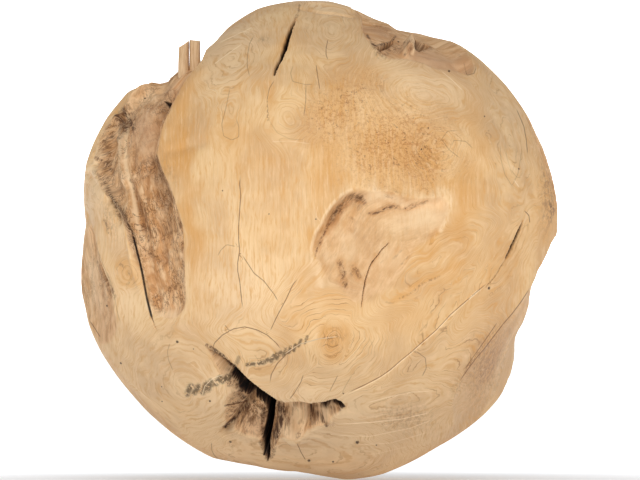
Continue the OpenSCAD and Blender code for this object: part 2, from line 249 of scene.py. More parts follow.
# Hollows: depth, height of the fibres, how torn the floor looks, size of the triangles, share of
# the depth left where the flow ends, how much the fibres on the flow's right-hand side lean
# across it, the flow that they follow, and the edges with the width of each one's slope
hollows = {
    "left": {
        "depth": 11.0, "fibres": 1.0, "torn": 1.0, "fine": 1.2, "left": 0.45, "lean": 0.8,
        "flow": seen([(150, 80), (135, 110), (128, 150), (134, 195), (148, 240), (168, 312)], 9),
        "edges": [
            (seen([(203, 44), (201, 57), (190, 75), (180, 92), (175, 103), (170, 113), (165, 125),
                (162, 140), (160, 155), (165, 170), (172, 185), (177, 198), (181, 212), (185, 225),
                (187, 245), (188, 265), (189, 300), (185, 312)]), 5),
            (seen([(185, 312), (175, 318), (163, 316), (155, 313), (151, 303), (145, 283), (141, 272),
                (137, 258), (133, 242), (128, 226), (120, 209), (111, 195), (99, 187)]), 6),
            (seen([(99, 187), (98, 170), (99, 155), (103, 140), (109, 125), (119, 108), (131, 91),
                (142, 78.5)]), 9),
            (placed([(-66, 61), (-72.5, 67), (-77, 74), (-79, 84)]), 7),
            (placed([(-79, 84), (-72, 98), (-56, 108), (-42, 107), (-36, 100)]), 18),
            (placed([(-36, 100), (-33, 91), (-33, 80)]), 8),
        ],
    },
    "lowLeft": {
        "depth": 6.0, "fibres": 0.5, "torn": 0.75, "fine": 1.4, "left": 1.0, "lean": 0.0,
        "flow": seen([(92, 232), (104, 280), (116, 335)]),
        "edges": [
            (seen([(83, 224), (88, 222), (95, 235), (99, 250), (105, 265), (112, 280), (116, 295),
                (119, 310), (124, 328)]), 7),
            (seen([(124, 328), (118, 342), (108, 345), (98, 335)]), 20),
            (placed([(-82, -33), (-90, -26), (-94, -14), (-92, -4), (-84, 5)]), 30),
        ],
    },
    "top": {
        "depth": 11.0, "fibres": 0.2, "torn": 0.6, "fine": 1.25, "left": 0.9, "lean": 0.0,
        "flow": seen([(366, 40), (400, 58), (470, 62)], 9),
        "edges": [
            (seen([(361, 14), (361, 25), (364, 37), (371, 48), (380, 57), (388, 61.5), (405, 62),
                (420, 65), (432, 70), (443, 72), (450, 71.5), (466, 76), (472, 74), (475, 66),
                (472, 56)]), 5),
            (placed([(51, 59), (53, 76), (49, 96)]), 12),
            (placed([(49, 96), (37, 110), (20, 112), (13, 98)]), 44),
            (placed([(13, 98), (10, 78)]), 9),
        ],
    },
    "ear": {
        "depth": 8.0, "fibres": 0.3, "torn": 0.42, "fine": 1.25, "left": 0.7, "lean": 0.0,
        "flow": seen([(436, 200), (385, 225), (340, 295)]),
        "edges": [
            (seen([(313, 264), (312, 248), (315, 232), (322, 219), (331, 206), (340, 196), (350, 190.5),
                (360, 188.5), (372, 190), (386, 190.5), (395, 193)]), 5),
            (seen([(395, 193), (405, 197), (420, 198), (432, 197), (440, 194), (444, 198)]), 5),
            (seen([(444, 198), (446.5, 206), (445, 215), (441, 228), (432, 240), (420, 256)]), 8),
            (seen([(420, 256), (398, 290), (375, 308), (350, 312), (332, 300)]), 42),
            (seen([(332, 300), (318, 277), (313, 264)]), 16),
        ],
    },
    "mouth": {
        "depth": 16.0, "fibres": 1.2, "torn": 1.0, "fine": 0.85, "left": 0.8, "lean": 0.0,
        "flow": seen([(250, 372), (262, 405), (269, 462)], 10),
        "edges": [
            (seen([(207, 343), (216, 347), (222, 350.6), (229, 356.3), (235, 361.5), (241, 367),
                (247, 373.5), (252, 379), (258, 384.8), (264, 389.3), (271, 394.3), (277, 398.3),
                (284, 400.5), (300, 400), (313, 402), (325, 401), (330, 398), (335, 396.5), (340, 399),
                (344, 404)]), 1.5),
            (seen([(344, 404), (341.5, 412.5), (332, 417), (329.5, 425), (318, 427), (308, 431),
                (297, 433), (285, 435), (277, 443), (273, 453), (269.5, 463), (266, 453), (258.5, 439),
                (247, 436), (236, 431), (226, 425), (222, 414), (224, 403), (226, 392), (222, 377),
                (212, 357), (207, 343)]), 14),
        ],
    },
    "back": {
        "depth": 9.0, "fibres": 0.9, "torn": 0.9, "fine": 2.4, "left": 0.7, "lean": 0.0,
        "flow": placed([(-38, 24), (-26, -22)], back),
        "edges": [
            (placed([(-34, 30), (-44, 20), (-46, 8), (-42, -6), (-34, -18), (-24, -28)], back), 10),
            (placed([(-24, -28), (-20, -16), (-20, -4), (-22, 8), (-26, 22), (-34, 30)], back), 26),
        ],
    },
    "backTop": {
        "depth": 8.0, "fibres": 0.8, "torn": 0.8, "fine": 2.4, "left": 0.8, "lean": 0.0,
        "flow": placed([(26, 48), (36, 20)], back),
        "edges": [
            (placed([(26, 52), (18, 42), (20, 32), (28, 22), (38, 16)], back), 24),
            (placed([(38, 16), (40, 26), (42, 34), (38, 44), (26, 52)], back), 9),
        ],
    },
    "right": {
        "depth": 6.5, "fibres": 0.6, "torn": 0.7, "fine": 2.4, "left": 0.9, "lean": 0.0,
        "flow": placed([(-4, 28), (2, -6)], right),
        "edges": [
            (placed([(-6, 34), (-14, 24), (-14, 12), (-8, 0), (2, -10)], right), 22),
            (placed([(2, -10), (8, 2), (10, 12), (6, 26), (-6, 34)], right), 14),
        ],
    },
    "under": {
        "depth": 8.0, "fibres": 0.8, "torn": 0.8, "fine": 2.5, "left": 0.9, "lean": 0.0,
        "flow": placed([(-14, -6), (18, -14)], under),
        "edges": [
            (placed([(-18, 2), (-12, 4), (0, -2), (14, -6), (24, -14)], under), 16),
            (placed([(24, -14), (12, -20), (-4, -20), (-18, -14), (-18, 2)], under), 12),
        ],
    },
}


def sinkHollows(ways, bent, made):
    # A hollow falls from its slopes to its floor, whose fibres run along its flow
    for hollow in hollows.values():
        border = np.concatenate([part for part, _ in hollow["edges"]])
        found, _, _ = near(bent, border, 14)
        inside = within(bent[found], border)
        drop, closestEdge = np.ones(len(found)), np.full(len(found), 1e9)
        for part, slope in hollow["edges"]:
            _, gap, _ = near(bent[found], part, anywhere)
            drop *= ease(np.abs(gap) / slope) ** 0.8
            closestEdge = np.minimum(closestEdge, np.abs(gap))
        drop *= inside
        flow, fine = hollow["flow"], hollow["fine"]
        _, across, done = near(ways[found], flow, anywhere)
        along = done * np.linalg.norm(flow[1:] - flow[:-1], axis=1).sum() * ball["radius"]
        across = across + hollow["lean"] * along * ease(-across / 8)
        made["height"][found] -= hollow["depth"] * drop * (1 - done + hollow["left"] * done)
        made["torn"][found] = np.maximum(made["torn"][found], hollow["torn"] * ease(drop / 0.18))
        made["lay"][found] = np.where(inside, across, made["lay"][found])
        made["run"][found] = np.where(inside, along, made["run"][found])
        laid = np.stack([along / 9, across / 1.6, across * 0 + fine], 1)
        lumps = np.stack([along / 20, across / 6, across * 0 + fine * 3], 1)
        floor = ease(drop / 0.35)
        rise = hollow["fibres"] * floor * (ball["fibres"] * layered(laid, 41, 2) + 1.3 * layered(lumps, 51, 2))
        made["height"][found] += rise
        # The relief also sets the painted shade in the furrows and the painted light on the crests
        made["relief"][found] += rise
        refine(made, found, np.where(inside, 0, closestEdge), fine)
        refine(made, found, closestEdge, fine * 0.66, 0.9)


# The planed flat at the lower right: angle in degrees from the right, then how far from the
# middle of the front its near and far edges lie, in degrees, and its share of the depth
planedFlat = [
    (-55, 75, 77, 0), (-51, 60, 86, 0.3), (-47, 55.8, 90, 0.45), (-40, 53.8, 95, 0.55),
    (-33, 53.8, 104, 0.8), (-25, 56.3, 118, 0.95), (-17, 60, 118, 0.95), (-8, 65.5, 112, 1.1),
    (-1, 74, 104, 0.6), (4, 87, 89, 0),
]


def planeFlat(ways, made):
    rows = np.array(planedFlat, float)
    tilt = np.degrees(np.arccos(np.clip(-ways[:, 1], -1, 1)))
    turn = np.degrees(np.arctan2(ways[:, 2], ways[:, 0]))
    close, distant, share = (np.interp(turn, rows[:, 0], rows[:, k]) for k in (1, 2, 3))
    t = np.clip((tilt - close) / (distant - close), 0, 1)
    beside = (turn <= rows[0, 0]) | (turn >= rows[-1, 0])
    made["height"] -= ball["flatDepth"] * np.where(beside, 0, 4 * t * (1 - t) * share)
    gap = np.abs(tilt - close) * 2.6 + 40 * beside
    made["edge"] = np.minimum(made["edge"], 1.2 + 0.4 * gap)


# Ridges and furrows: path, how far below the round it lies, height (a furrow's is negative),
# half width
ridges = [
    ([(163, 151), (180, 150), (195, 147), (214, 143)], 0, -1.5, 3.5),
    ([(140, 92), (126, 110), (114, 130), (108, 150), (107, 175)], 9, -4.5, 6.0),
    ([(128, 118), (127, 145), (127, 168), (132, 185), (136, 205), (140, 223), (145, 245), (150, 270),
        (158, 300)], 9, 3.6, 3.0),
    ([(118, 104), (126, 113), (133, 127)], 9, -2.5, 3.0),
    ([(98, 160), (106, 163), (114, 171)], 8, -2.0, 2.4),
    ([(97, 174), (104, 181), (112, 192)], 7, -1.6, 2.2),
    ([(112, 138), (104, 150), (99, 158)], 8, 1.6, 2.6),
    ([(118, 150), (109, 168), (103, 176)], 8, 1.6, 2.6),
    ([(133, 180), (139, 200), (147, 222), (150, 240)], 10, -2.8, 3.0),
    ([(150, 200), (158, 220), (163, 245), (162, 270)], 10, 2.2, 4.0),
    ([(154, 250), (160, 262), (172, 258)], 9, -2.2, 2.4),
    ([(148, 262), (156, 285), (166, 300)], 7, -1.8, 2.4),
    ([(142, 84), (150, 92), (160, 96)], 9, 1.8, 4.0),
    ([(189, 76), (176, 97), (168, 118), (161, 140), (158, 160), (166, 180), (173, 198),
        (178, 220)], 14, -4.5, 5.0),
    ([(170, 190), (175, 215), (178, 240), (180, 270), (179, 298)], 12, -2.0, 6.0),
    ([(115, 196), (124, 212), (131, 226)], 6, -4.0, 2.6),
    ([(98, 258), (103, 275), (110, 290), (117, 302)], 3, -2.4, 2.2),
    ([(84, 210), (86, 222), (91, 232)], 0, -1.5, 2.5),
    ([(364, 205), (360, 198), (353, 196), (346, 200), (339, 207), (333, 216), (327, 227)], 6, -4.0, 2.4),
    ([(331, 218), (326, 228), (320, 244), (316, 255)], 5, -1.0, 1.2),
    ([(326, 232), (322, 246), (320, 262)], 5, 1.2, 2.2),
    ([(349, 214), (345, 226), (350, 236), (358, 228), (356, 216)], 6, 1.3, 2.0),
    ([(358, 208), (351, 207), (345, 213), (338, 224), (332, 240)], 6, 2.2, 3.0),
    ([(364, 199), (376, 197), (390, 198), (402, 203)], 3, 3.8, 2.8),
    ([(367, 213.6), (376, 212.5), (387, 208), (396, 206)], 5, -2.2, 1.4),
    ([(402, 210), (414, 206), (425, 201)], 5, -1.8, 1.3),
    ([(350, 226), (352, 240), (345, 262), (338, 280)], 6, 2.0, 6.0),
    ([(362, 268), (385, 240), (410, 222), (440, 206)], 6, 3.0, 9.0),
    ([(385, 295), (405, 286), (425, 279), (457, 266)], 0, -1.8, 5.0),
    ([(462, 122), (460, 150), (463, 185)], 0, -1.2, 9.0),
    ([(300, 345), (318, 330), (340, 326), (358, 336)], 0, 1.2, 12.0),
    ([(297, 6), (306, 10), (320, 13), (345, 14), (357, 16)], 0, -2.4, 1.5),
    ([(302, 3), (325, 3), (346, 6), (356, 11)], 0, 1.2, 4.0),
    ([(405, 57), (405, 49), (409, 40)], 8, 10.0, 2.2), ([(412, 55), (412, 46), (413, 40)], 8, 5.0, 1.6),
    ([(398, 58), (415, 57), (436, 62), (462, 66)], 9, 1.5, 5.0),
    ([(206, 62), (192, 84), (178, 112), (172, 140)], 0, 1.0, 5.0),
    ([(254, 399), (240, 410), (226, 424)], 8, -6.0, 2.0),
    ([(281, 404), (281, 415), (278, 430)], 12, 4.0, 2.0),
    ([(298, 402), (300, 415), (294, 430)], 8, 6.5, 6.5),
    ([(311, 402), (313, 411), (306, 424)], 6, -3.5, 1.8),
    ([(320, 406), (326, 414), (334, 412)], 4, 3.0, 3.5),
    ([(517, 208), (508, 236), (496, 262), (482, 286)], 0, 0.9, 6.0),
]


def raiseRidges(bent, made):
    for path, sunk, lift, wide in ridges:
        found, far, at = near(bent, seen(path, sunk), 3 * wide + 4)
        rise = lift * tapered(at, 0.16) * np.exp(-((far / wide) ** 2))
        made["height"][found] += rise
        made["relief"][found] += rise * 0.4 * np.minimum(made["torn"][found], 1) * 0.8
        refine(made, found, np.abs(far), max(0.8, wide * 0.34))


# The long ledge from the ear to the mouth: its path, the height of the drop on its right-hand
# side, and the width over which the wood comes back
ledgePath = [
    (490, 278), (478, 288), (465, 299), (450, 312), (435, 328), (420, 341), (410, 350), (400, 358),
    (390, 367), (380, 374), (365, 382), (350, 389), (342, 394),
]
ledge = {"drop": 1.5, "wide": 26}


def dropLedge(bent, made):
    wide = ledge["wide"]
    found, far, at = near(bent, seen(ledgePath), wide + 4)
    fall = ease(-far / 0.9) * ease((far + wide) / wide)
    made["height"][found] -= ledge["drop"] * tapered(at, 0.1) * np.where(far < 0, fall, 0)
    refine(made, found, np.abs(far), 0.6, 0.8)


# Caves: outline, depth, width of the wall and how dark the painted shade inside them is
caves = [
    (np.concatenate([
        seen([(234, 361), (241, 367.4), (250, 376.6), (262, 387.4), (271, 394), (278, 398.6),
            (283, 400.2)]),
        seen([(275.5, 404), (273, 412), (272.5, 427), (272, 441)], 9),
        seen([(271, 450), (269.5, 455), (268.5, 449)], 5),
        seen([(267.3, 440), (267, 425), (266, 411), (263, 402.5), (255, 400.5), (247, 397),
            (243, 389)], 11),
        seen([(239, 379), (234, 370)], 8),
    ]), 30, 3.2, 1.0),
    (np.concatenate([
        seen([(312, 401.3), (324, 400), (330, 397.5), (335, 396), (341, 399), (345, 404)]),
        seen([(342, 404.5)], 2),
        seen([(335, 402.5)], 4),
        seen([(326, 402.3), (316, 402.3)], 8),
    ]), 14, 1.8, 0.85),
    (seen([(164, 100), (170, 99), (176.5, 99.5), (174, 106), (168, 107)], 11), 10, 1.5, 0.85),
    (seen([(413, 38), (420, 34), (428, 34), (434, 38), (432, 44), (426, 48), (419, 51),
        (412, 46)], 10), 9, 4.0, 0.7),
    (seen([(366, 35), (371, 41), (377, 44), (384, 41), (390, 38), (395, 34), (395, 39), (388, 45),
        (381, 48), (378, 57), (372, 50), (368, 44)], 8), 8, 1.8, 0.6),
]


def sinkCaves(ways, bent, made):
    for border, depth, wall, shade in caves:
        found, far, _ = near(bent, np.concatenate([border, border[:1]]), 8)
        inside = within(bent[found], border)
        drop = np.where(inside, 1 - (1 - np.clip(np.abs(far) / wall, 0, 1)) ** 2, 0)
        uneven = 1 + 0.25 * layered(ways[found] * 60, 61, 2)
        made["height"][found] -= depth * drop * uneven
        # Painted shade: inside its outline a cave is painted dark, as strongly as its shade says
        gap = np.where(inside, np.abs(far), -np.abs(far))
        dark = np.clip((gap + 0.5) / (0.7 if shade > 0.8 else 3), 0, 1) * shade
        made["deep"][found] = np.maximum(made["deep"][found], dark)
        refine(made, found, np.where(inside, 0, np.abs(far)), 0.7, 0.8)


# Cracks: path, half width at the surface, depth
cracks = [
    (seen([(134, 226), (137, 236), (139.5, 248), (142, 259), (145, 270), (148.5, 281), (151.5, 291),
        (154, 302), (156.5, 316)], 3), 0.8, 2.4),
    (seen([(152, 309), (155, 318), (160, 328)]), 0.5, 2),
    (seen([(296, 19), (292, 27), (288, 38), (285, 50), (281, 62), (277, 73), (275.5, 81)]), 1.7, 14),
    (seen([(387, 241.5), (379, 250), (371.5, 259.5), (367, 270), (364, 280), (361, 292),
        (358.5, 304)], 4), 0.4, 2.6),
    (seen([(520.5, 220), (516, 231), (511.6, 240.5), (507, 250), (502.5, 258)]), 2.3, 10),
    (seen([(504, 255), (499, 264), (494, 273), (483, 287)]), 0.5, 3),
    (seen([(523, 224), (518, 236), (513, 248)]), 0.4, 2),
    (placed([(-30, 26), (-33, 14), (-31, 2), (-33, -10), (-27, -24), (-29, -38)], back), 1.5, 13),
    (placed([(8, 30), (11, 18), (9, 6), (12, -6), (10, -16)], back), 0.8, 6),
    (placed([(2, 26), (-2, 14), (1, 2), (-3, -12)], right), 0.8, 6),
    (placed([(-20, -6), (-8, -10), (4, -8), (16, -14)], under), 1.4, 12),
]


def openCracks(ways, made):
    jagged = unit(ways + np.stack([noise(ways * 90, seed) for seed in (71, 72, 73)], 1) * 0.0022)
    for path, wide, depth in cracks:
        found, far, at = near(jagged, finer(path), 3 * wide + 4)
        full = np.sqrt(np.sin(np.pi * np.clip(at, 0, 1)))
        half = wide * (0.25 + 0.75 * full)
        drop = np.clip(1 - (np.abs(far) / half) ** 2, 0, 1) * ease(full * 2)
        made["height"][found] -= depth * drop
        # Painted shade: cracks deeper than 2.5 mm are painted dark inside, darker the deeper they are
        dark = ease(drop * 2.2) * min(1, depth / 6) * (depth > 2.5)
        made["deep"][found] = np.maximum(made["deep"][found], dark)
        refine(made, found, np.abs(far) - wide, 0.55, 1.0)


# Fine dark lines that are drawn only: hairline cracks and single dark rings, with a strength.
# One above 1 is broader
lines = [
    ([(242, 172), (241, 185), (242, 196), (241, 210), (240, 225), (240, 240), (241, 250), (239, 262),
        (239, 270), (241, 280), (242, 290), (243, 300), (245, 311)], 1.0),
    ([(131, 224), (134, 232), (137, 243), (139.5, 252), (142, 262), (144.5, 274), (147, 287), (149, 298),
        (151.5, 308), (154, 317), (157, 324)], 2.0),
    ([(242, 252), (255, 272), (265, 280), (275, 293), (280, 302)], 0.6),
    ([(299, 276), (293, 284), (287, 297), (277, 316), (270, 331)], 0.7),
    ([(219, 256), (222, 250), (228, 244), (238, 246)], 0.45),
    ([(276, 80), (270, 90), (268, 100), (268, 125)], 0.5),
    ([(255, 35), (250, 45), (248, 58), (248, 68), (251, 80)], 0.45),
    ([(232, 84), (230, 95), (227, 110), (223, 125), (225, 137), (233, 141), (240, 138), (240, 128),
        (236, 115)], 0.4),
    ([(268, 100), (270, 122), (278, 134), (290, 140), (302, 141), (310, 134)], 0.3),
    ([(328, 40), (326, 50), (326, 56), (328, 62)], 0.6),
    ([(294, 65), (291, 75), (293, 83), (305, 86), (315, 86)], 0.4),
    ([(306, 86), (306, 102), (304, 118)], 0.5), ([(316, 65), (318, 80), (320, 92)], 0.6),
    ([(213, 350), (216, 341), (224, 333), (235, 327), (246, 325), (258, 328), (268, 333), (277, 341),
        (283, 349)], 0.9),
    ([(497, 319), (486, 335), (474, 352), (462, 369)], 0.6),
    ([(460, 160), (447, 150), (440, 140), (446, 132), (458, 131)], 0.4),
    ([(472, 150), (464, 142), (452, 141), (450, 148)], 0.4),
    ([(498, 140), (499, 160), (503, 175), (510, 186), (516, 174), (519, 158), (521, 142)], 0.35),
    ([(503, 138), (505, 158), (510, 174), (514, 160), (515, 142)], 0.25),
    ([(322.5, 328), (325, 335), (331, 337), (336, 334), (342, 336)], 0.4),
    ([(321, 345), (326, 342), (332, 345), (340, 342)], 0.45),
    ([(324, 351), (330, 354), (336, 351), (343, 349)], 0.35),
    ([(340, 334), (318, 337), (300, 342), (288, 351), (278, 361), (272, 372), (270, 384)], 0.75),
    ([(304, 371), (301, 380), (295, 390), (289, 398)], 0.6), ([(338, 372), (334, 380), (329, 390)], 0.5),
    ([(172, 340), (169, 350), (170, 358), (175, 370)], 0.4),
    ([(212, 440), (212, 448), (214, 454), (219, 460)], 0.5), ([(297, 440), (301, 450), (306, 459)], 0.7),
    ([(226, 323), (231, 329)], 0.5), ([(226, 403), (232, 402), (240, 401), (250, 399)], 0.8),
    ([(515, 107), (523, 127), (525, 140), (526, 156)], 0.6), ([(522, 210), (527, 215), (528, 223)], 0.7),
    ([(90, 320), (96, 328), (102, 337)], 0.7),
    ([(88, 222), (95, 235), (99, 250), (105, 265), (112, 280), (116, 295), (119, 311), (124, 328)], 0.35),
    ([(531, 283), (520, 300), (510, 313), (502, 322), (492, 335), (483, 347), (475, 356), (466, 368),
        (455, 384)], 0.7),
    (ledgePath, 0.9), ([(410, 350), (416, 350), (424, 356), (425, 366), (420, 376)], 0.5),
    ([(504, 385), (497, 400), (490, 418)], 0.45), ([(352, 372), (346, 382), (341, 392)], 0.35),
    ([(369, 336), (372, 344), (370, 354)], 0.3), ([(255, 352), (262, 362)], 0.3),
    ([(463, 61), (466, 76), (473, 74), (476, 66)], 0.5),
]

# Fine pale lines: scratches of the tools, and a painted highlight along the lit side of the ledge
scratchesAndHighlights = [
    ([(218, 43), (232, 37), (246, 31), (254, 27)], 0.9), ([(214, 66), (228, 55), (244, 44)], 0.9),
    ([(231, 33), (240, 32), (252, 33)], 0.5),
    ([(340, 334), (318, 337), (300, 342), (288, 350), (283, 353)], 0.8),
    ([(364, 401), (390, 394), (410, 390), (432, 389)], 0.7),
    ([(337, 422), (370, 420), (400, 417), (432, 410)], 0.9),
    ([(330, 433), (370, 434), (410, 426), (436, 416)], 0.6), ([(350, 443), (390, 441), (430, 430)], 0.5),
    ([(340, 452), (376, 452), (410, 444)], 0.4), ([(440, 72), (450, 80), (462, 92)], 0.7),
    # The ledge's path moved a pixel left and two down is a painted highlight on its lit edge
    ([(512, 180), (517, 187)], 1.0), ([(x - 1, y + 2) for x, y in ledgePath], 0.9),
    ([(190, 360), (200, 368), (208, 374)], 0.5), ([(203, 395), (206, 384), (214, 376), (226, 372)], 0.9),
    ([(214, 377), (218, 383)], 0.8), ([(270, 143), (290, 142), (312, 145)], 0.5),
    ([(130, 380), (142, 392), (155, 402)], 0.5), ([(318, 205), (316, 216), (321, 222)], 0.5),
    ([(385, 398), (400, 392), (412, 394)], 0.4), ([(476, 288), (466, 298)], 0.8),
]


def traced(u, v, shown, paths, edge):
    # Signed distance in pixels to the closest of these lines, and how strongly that line shows
    line, strong = np.full(len(u), 9.0), np.zeros(len(u))
    for path, strength in paths:
        found, far, at = tracked(u, v, shown, path, 5)
        best = np.abs(far)
        closer = best < np.abs(line[found])
        line[found] = np.where(closer, far, line[found])
        faded = strength * tapered(at, 0.12) * np.exp(-((best / 3.2) ** 2))
        strong[found] = np.where(closer, faded, strong[found])
        edge[found] = np.minimum(edge[found], 1.1 + 0.4 * best)
    return line, strong


# Small dark spots: middle and half size in pixels
dots = [
    ((179, 340), 1.6), ((122, 362), 1.3), ((211, 399), 1.2), ((231, 440), 1.5), ((309, 459), 1.6),
    ((333, 460), 1.2), ((357, 440), 2.0), ((376, 443), 0.9), ((343, 391), 0.9), ((195, 347), 0.7),
    ((224, 191), 0.9), ((270, 214), 0.8), ((316, 219), 0.9), ((396, 128), 1.0), ((427, 129), 1.0),
    ((420, 150), 1.0), ((483, 117), 0.9), ((487, 287), 1.6), ((144, 97), 1.1), ((108, 305), 1.1),
    ((448, 72), 1.3), ((517, 169), 1.0), ((163, 400), 0.8), ((404, 43), 1.3), ((398, 42), 1.0),
    ((163, 385), 0.8), ((226, 425), 1.5),
]

# Places where the floor of a hollow is smooth: middle in pixels, half sizes, turn, how much
calms = [
    ((147, 136), (16, 28), 6, 0.75), ((150, 98), (22, 13), -30, 0.4), ((299, 415), (14, 14), 0, 0.75),
    ((422, 214), (32, 20), -18, 0.6), ((350, 250), (18, 34), 15, 0.2), ((376, 24), (26, 16), 20, 1.0),
    ((430, 60), (60, 20), 10, 1.0), ((440, 44), (38, 16), 20, 0.9), ((380, 275), (50, 26), -30, 0.5),
    ((105, 330), (20, 30), -10, 0.5),
]


# Tints: middle in pixels, half sizes, turn in degrees (positive turns clockwise), strength
tints = {
    "warm": [
        ((184, 100), (13, 52), 22, 0.9), ((178, 165), (14, 35), -20, 0.85),
        ((195, 240), (9, 80), -4, 0.9), ((262, 165), (45, 22), 0, 0.45), ((325, 165), (20, 60), 6, 0.8),
        ((318, 240), (8, 50), 4, 0.8), ((390, 150), (62, 42), 8, 0.75), ((335, 112), (28, 30), 0, 0.65),
        ((282, 45), (5, 18), 14, 0.9), ((268, 96), (7, 16), 8, 0.9), ((334, 336), (15, 15), 0, 1.0),
        ((127, 274), (11, 14), -35, 0.85), ((478, 132), (10, 34), -10, 0.75),
        ((460, 205), (17, 46), 10, 0.95), ((432, 186), (36, 7), 0, 0.8), ((418, 250), (34, 11), -36, 0.6),
        ((382, 268), (24, 18), 0, 0.5), ((110, 218), (8, 26), -20, 0.45), ((380, 24), (26, 14), 20, 0.6),
        ((325, 6), (30, 7), 4, 0.35), ((334, 182), (26, 12), -30, 0.7), ((430, 250), (9, 16), 35, 0.8),
        ((300, 300), (16, 40), 6, 0.5), ((500, 255), (22, 45), 35, 0.35), ((240, 140), (34, 16), 0, 0.5),
        ((340, 300), (26, 16), 0, 0.5), ((470, 300), (30, 14), -40, 0.4), ((365, 75), (22, 14), 0, 0.5),
        ((345, 90), (14, 20), 0, 0.4), ((520, 240), (25, 60), 15, 0.3), ((548, 205), (16, 70), 0, 0.75),
        ((424, 160), (24, 34), 0, 0.8), ((530, 300), (14, 40), 20, 0.4),
        ((450, 272), (42, 24), -40, 0.45), ((403, 315), (34, 20), 0, 0.4), ((184, 150), (9, 50), -6, 1.0),
        ((276, 210), (24, 60), 0, 0.3),
    ],
    "pale": [
        ((420, 212), (30, 17), -18, 1.0), ((376, 197), (14, 6), 4, 0.9), ((110, 215), (14, 40), -20, 0.7),
        ((128, 300), (14, 24), -25, 0.6), ((90, 180), (9, 45), 8, 0.6), ((245, 290), (50, 42), 0, 0.7),
        ((425, 88), (34, 20), 10, 0.7), ((225, 75), (34, 30), -25, 0.5), ((325, 5), (34, 8), 4, 1.0),
        ((250, 215), (42, 60), 0, 0.2), ((92, 280), (10, 30), -10, 0.7), ((245, 452), (44, 18), 8, 0.6),
        ((335, 467), (60, 8), 0, 0.4), ((240, 48), (34, 22), -25, 0.5), ((345, 250), (14, 22), 15, 0.5),
        ((390, 262), (20, 12), -30, 0.5), ((300, 395), (40, 14), 0, 0.5), ((222, 390), (34, 30), 0, 0.6),
        ((188, 46), (10, 22), 0, 0.7), ((315, 272), (5, 16), -15, 0.6), ((299, 411), (8, 8), 0, 0.9),
        ((446, 205), (3, 18), 5, 0.9),
    ],
    "dull": [
        ((320, 430), (180, 60), 0, 0.9), ((160, 370), (70, 60), 30, 0.5), ((330, 36), (30, 26), 0, 0.65),
        ((225, 40), (50, 30), -20, 0.6), ((90, 180), (12, 70), 6, 0.7), ((450, 380), (30, 40), 0, 0.4),
        ((540, 120), (20, 60), -10, 0.3), ((500, 110), (50, 40), 40, 0.4), ((430, 400), (70, 50), 0, 0.5),
        ((400, 45), (60, 30), 15, 0.7), ((264, 39), (12, 6), -20, 0.7), ((100, 300), (24, 70), -10, 0.2),
    ],
    "brown": [
        ((130, 118), (9, 18), -28, 0.8), ((122, 210), (5, 22), -28, 0.9), ((160, 240), (14, 46), -8, 0.1),
        # The ovals at (356, 205), (341, 208) and (324, 232), and the thin one at (398, 206) below, are painted
        # shadow under the ear's lip
        ((356, 205), (12, 6), 60, 0.6), ((341, 208), (5, 14), 40, 0.8), ((324, 232), (3.5, 12), 22, 0.45),
        ((342, 277), (5, 9), 10, 0.7), ((354, 271), (5, 7), -20, 0.6), ((398, 206), (26, 3), -8, 0.8),
        # The oval at (392, 50) is painted shadow under the crack at the top
        ((392, 50), (20, 7), 0, 0.8), ((110, 285), (4, 18), -24, 0.8), ((550, 210), (3.5, 16), 4, 0.9),
        ((517, 345), (4, 18), 6, 0.7), ((470, 340), (20, 12), -45, 0.3), ((318, 416), (10, 9), 0, 0.8),
        ((285, 415), (8, 16), 0, 0.9), ((300, 362), (20, 8), 0, 0.2), ((264, 39), (10, 4), -20, 0.5),
        ((385, 195), (8, 3), 0, 0.3), ((458, 240), (10, 4), -40, 0.25), ((455, 385), (10, 20), 20, 0.35),
        ((224, 461), (8, 2), 10, 1.0), ((170, 92), (6, 8), 0, 0.6), ((254, 414), (28, 24), 0, 0.75),
        ((107, 150), (9, 34), 12, 0.7), ((140, 205), (5, 24), -15, 0.3), ((166, 222), (9, 16), -10, 0.35),
        # The oval at (424, 43) is painted shade in the pocket beside the knob; the one at (380, 52) is painted
        # shadow under the crack at the top
        ((163, 262), (14, 10), 0, 0.4), ((424, 43), (15, 9), 0, 1.0), ((380, 52), (10, 8), 10, 0.75),
        ((379, 24), (26, 12), 20, 0.6), ((330, 408), (12, 7), 0, 0.5), ((334, 336), (13, 14), 0, 0.45),
        ((422, 160), (20, 24), 0, 0.35), ((405, 416), (40, 22), 0, 0.45), ((111, 220), (9, 28), -20, 0.5),
        ((486, 366), (26, 52), 18, 0.5), ((545, 190), (9, 60), 0, 0.55), ((122, 118), (9, 14), -28, 1.5),
        ((171, 172), (6, 26), -18, 0.35), ((108, 160), (7, 20), 8, 0.9), ((342, 212), (8, 10), 0, 0.25),
    ],
    "pink": [
        ((148, 130), (20, 34), 6, 0.8), ((172, 92), (14, 14), 0, 0.5), ((440, 60), (44, 16), 14, 1.0),
        ((376, 24), (22, 14), 20, 1.0), ((490, 368), (36, 58), 12, 1.0), ((95, 290), (16, 45), -14, 0.6),
        ((345, 285), (26, 18), 0, 0.45), ((172, 315), (12, 6), 0, 0.5), ((180, 330), (22, 10), 0, 0.5),
        ((258, 425), (16, 12), 0, 0.7),
    ],
    "burl": [
        ((418, 155), (26, 34), 0, 1.0), ((352, 98), (20, 20), 0, 0.9), ((404, 118), (26, 16), 0, 0.8),
        ((330, 115), (24, 26), 0, 0.8), ((395, 145), (52, 40), 6, 1.0), ((365, 80), (24, 14), 0, 0.4),
    ],
    "mould": [],
    "dark": [],
}


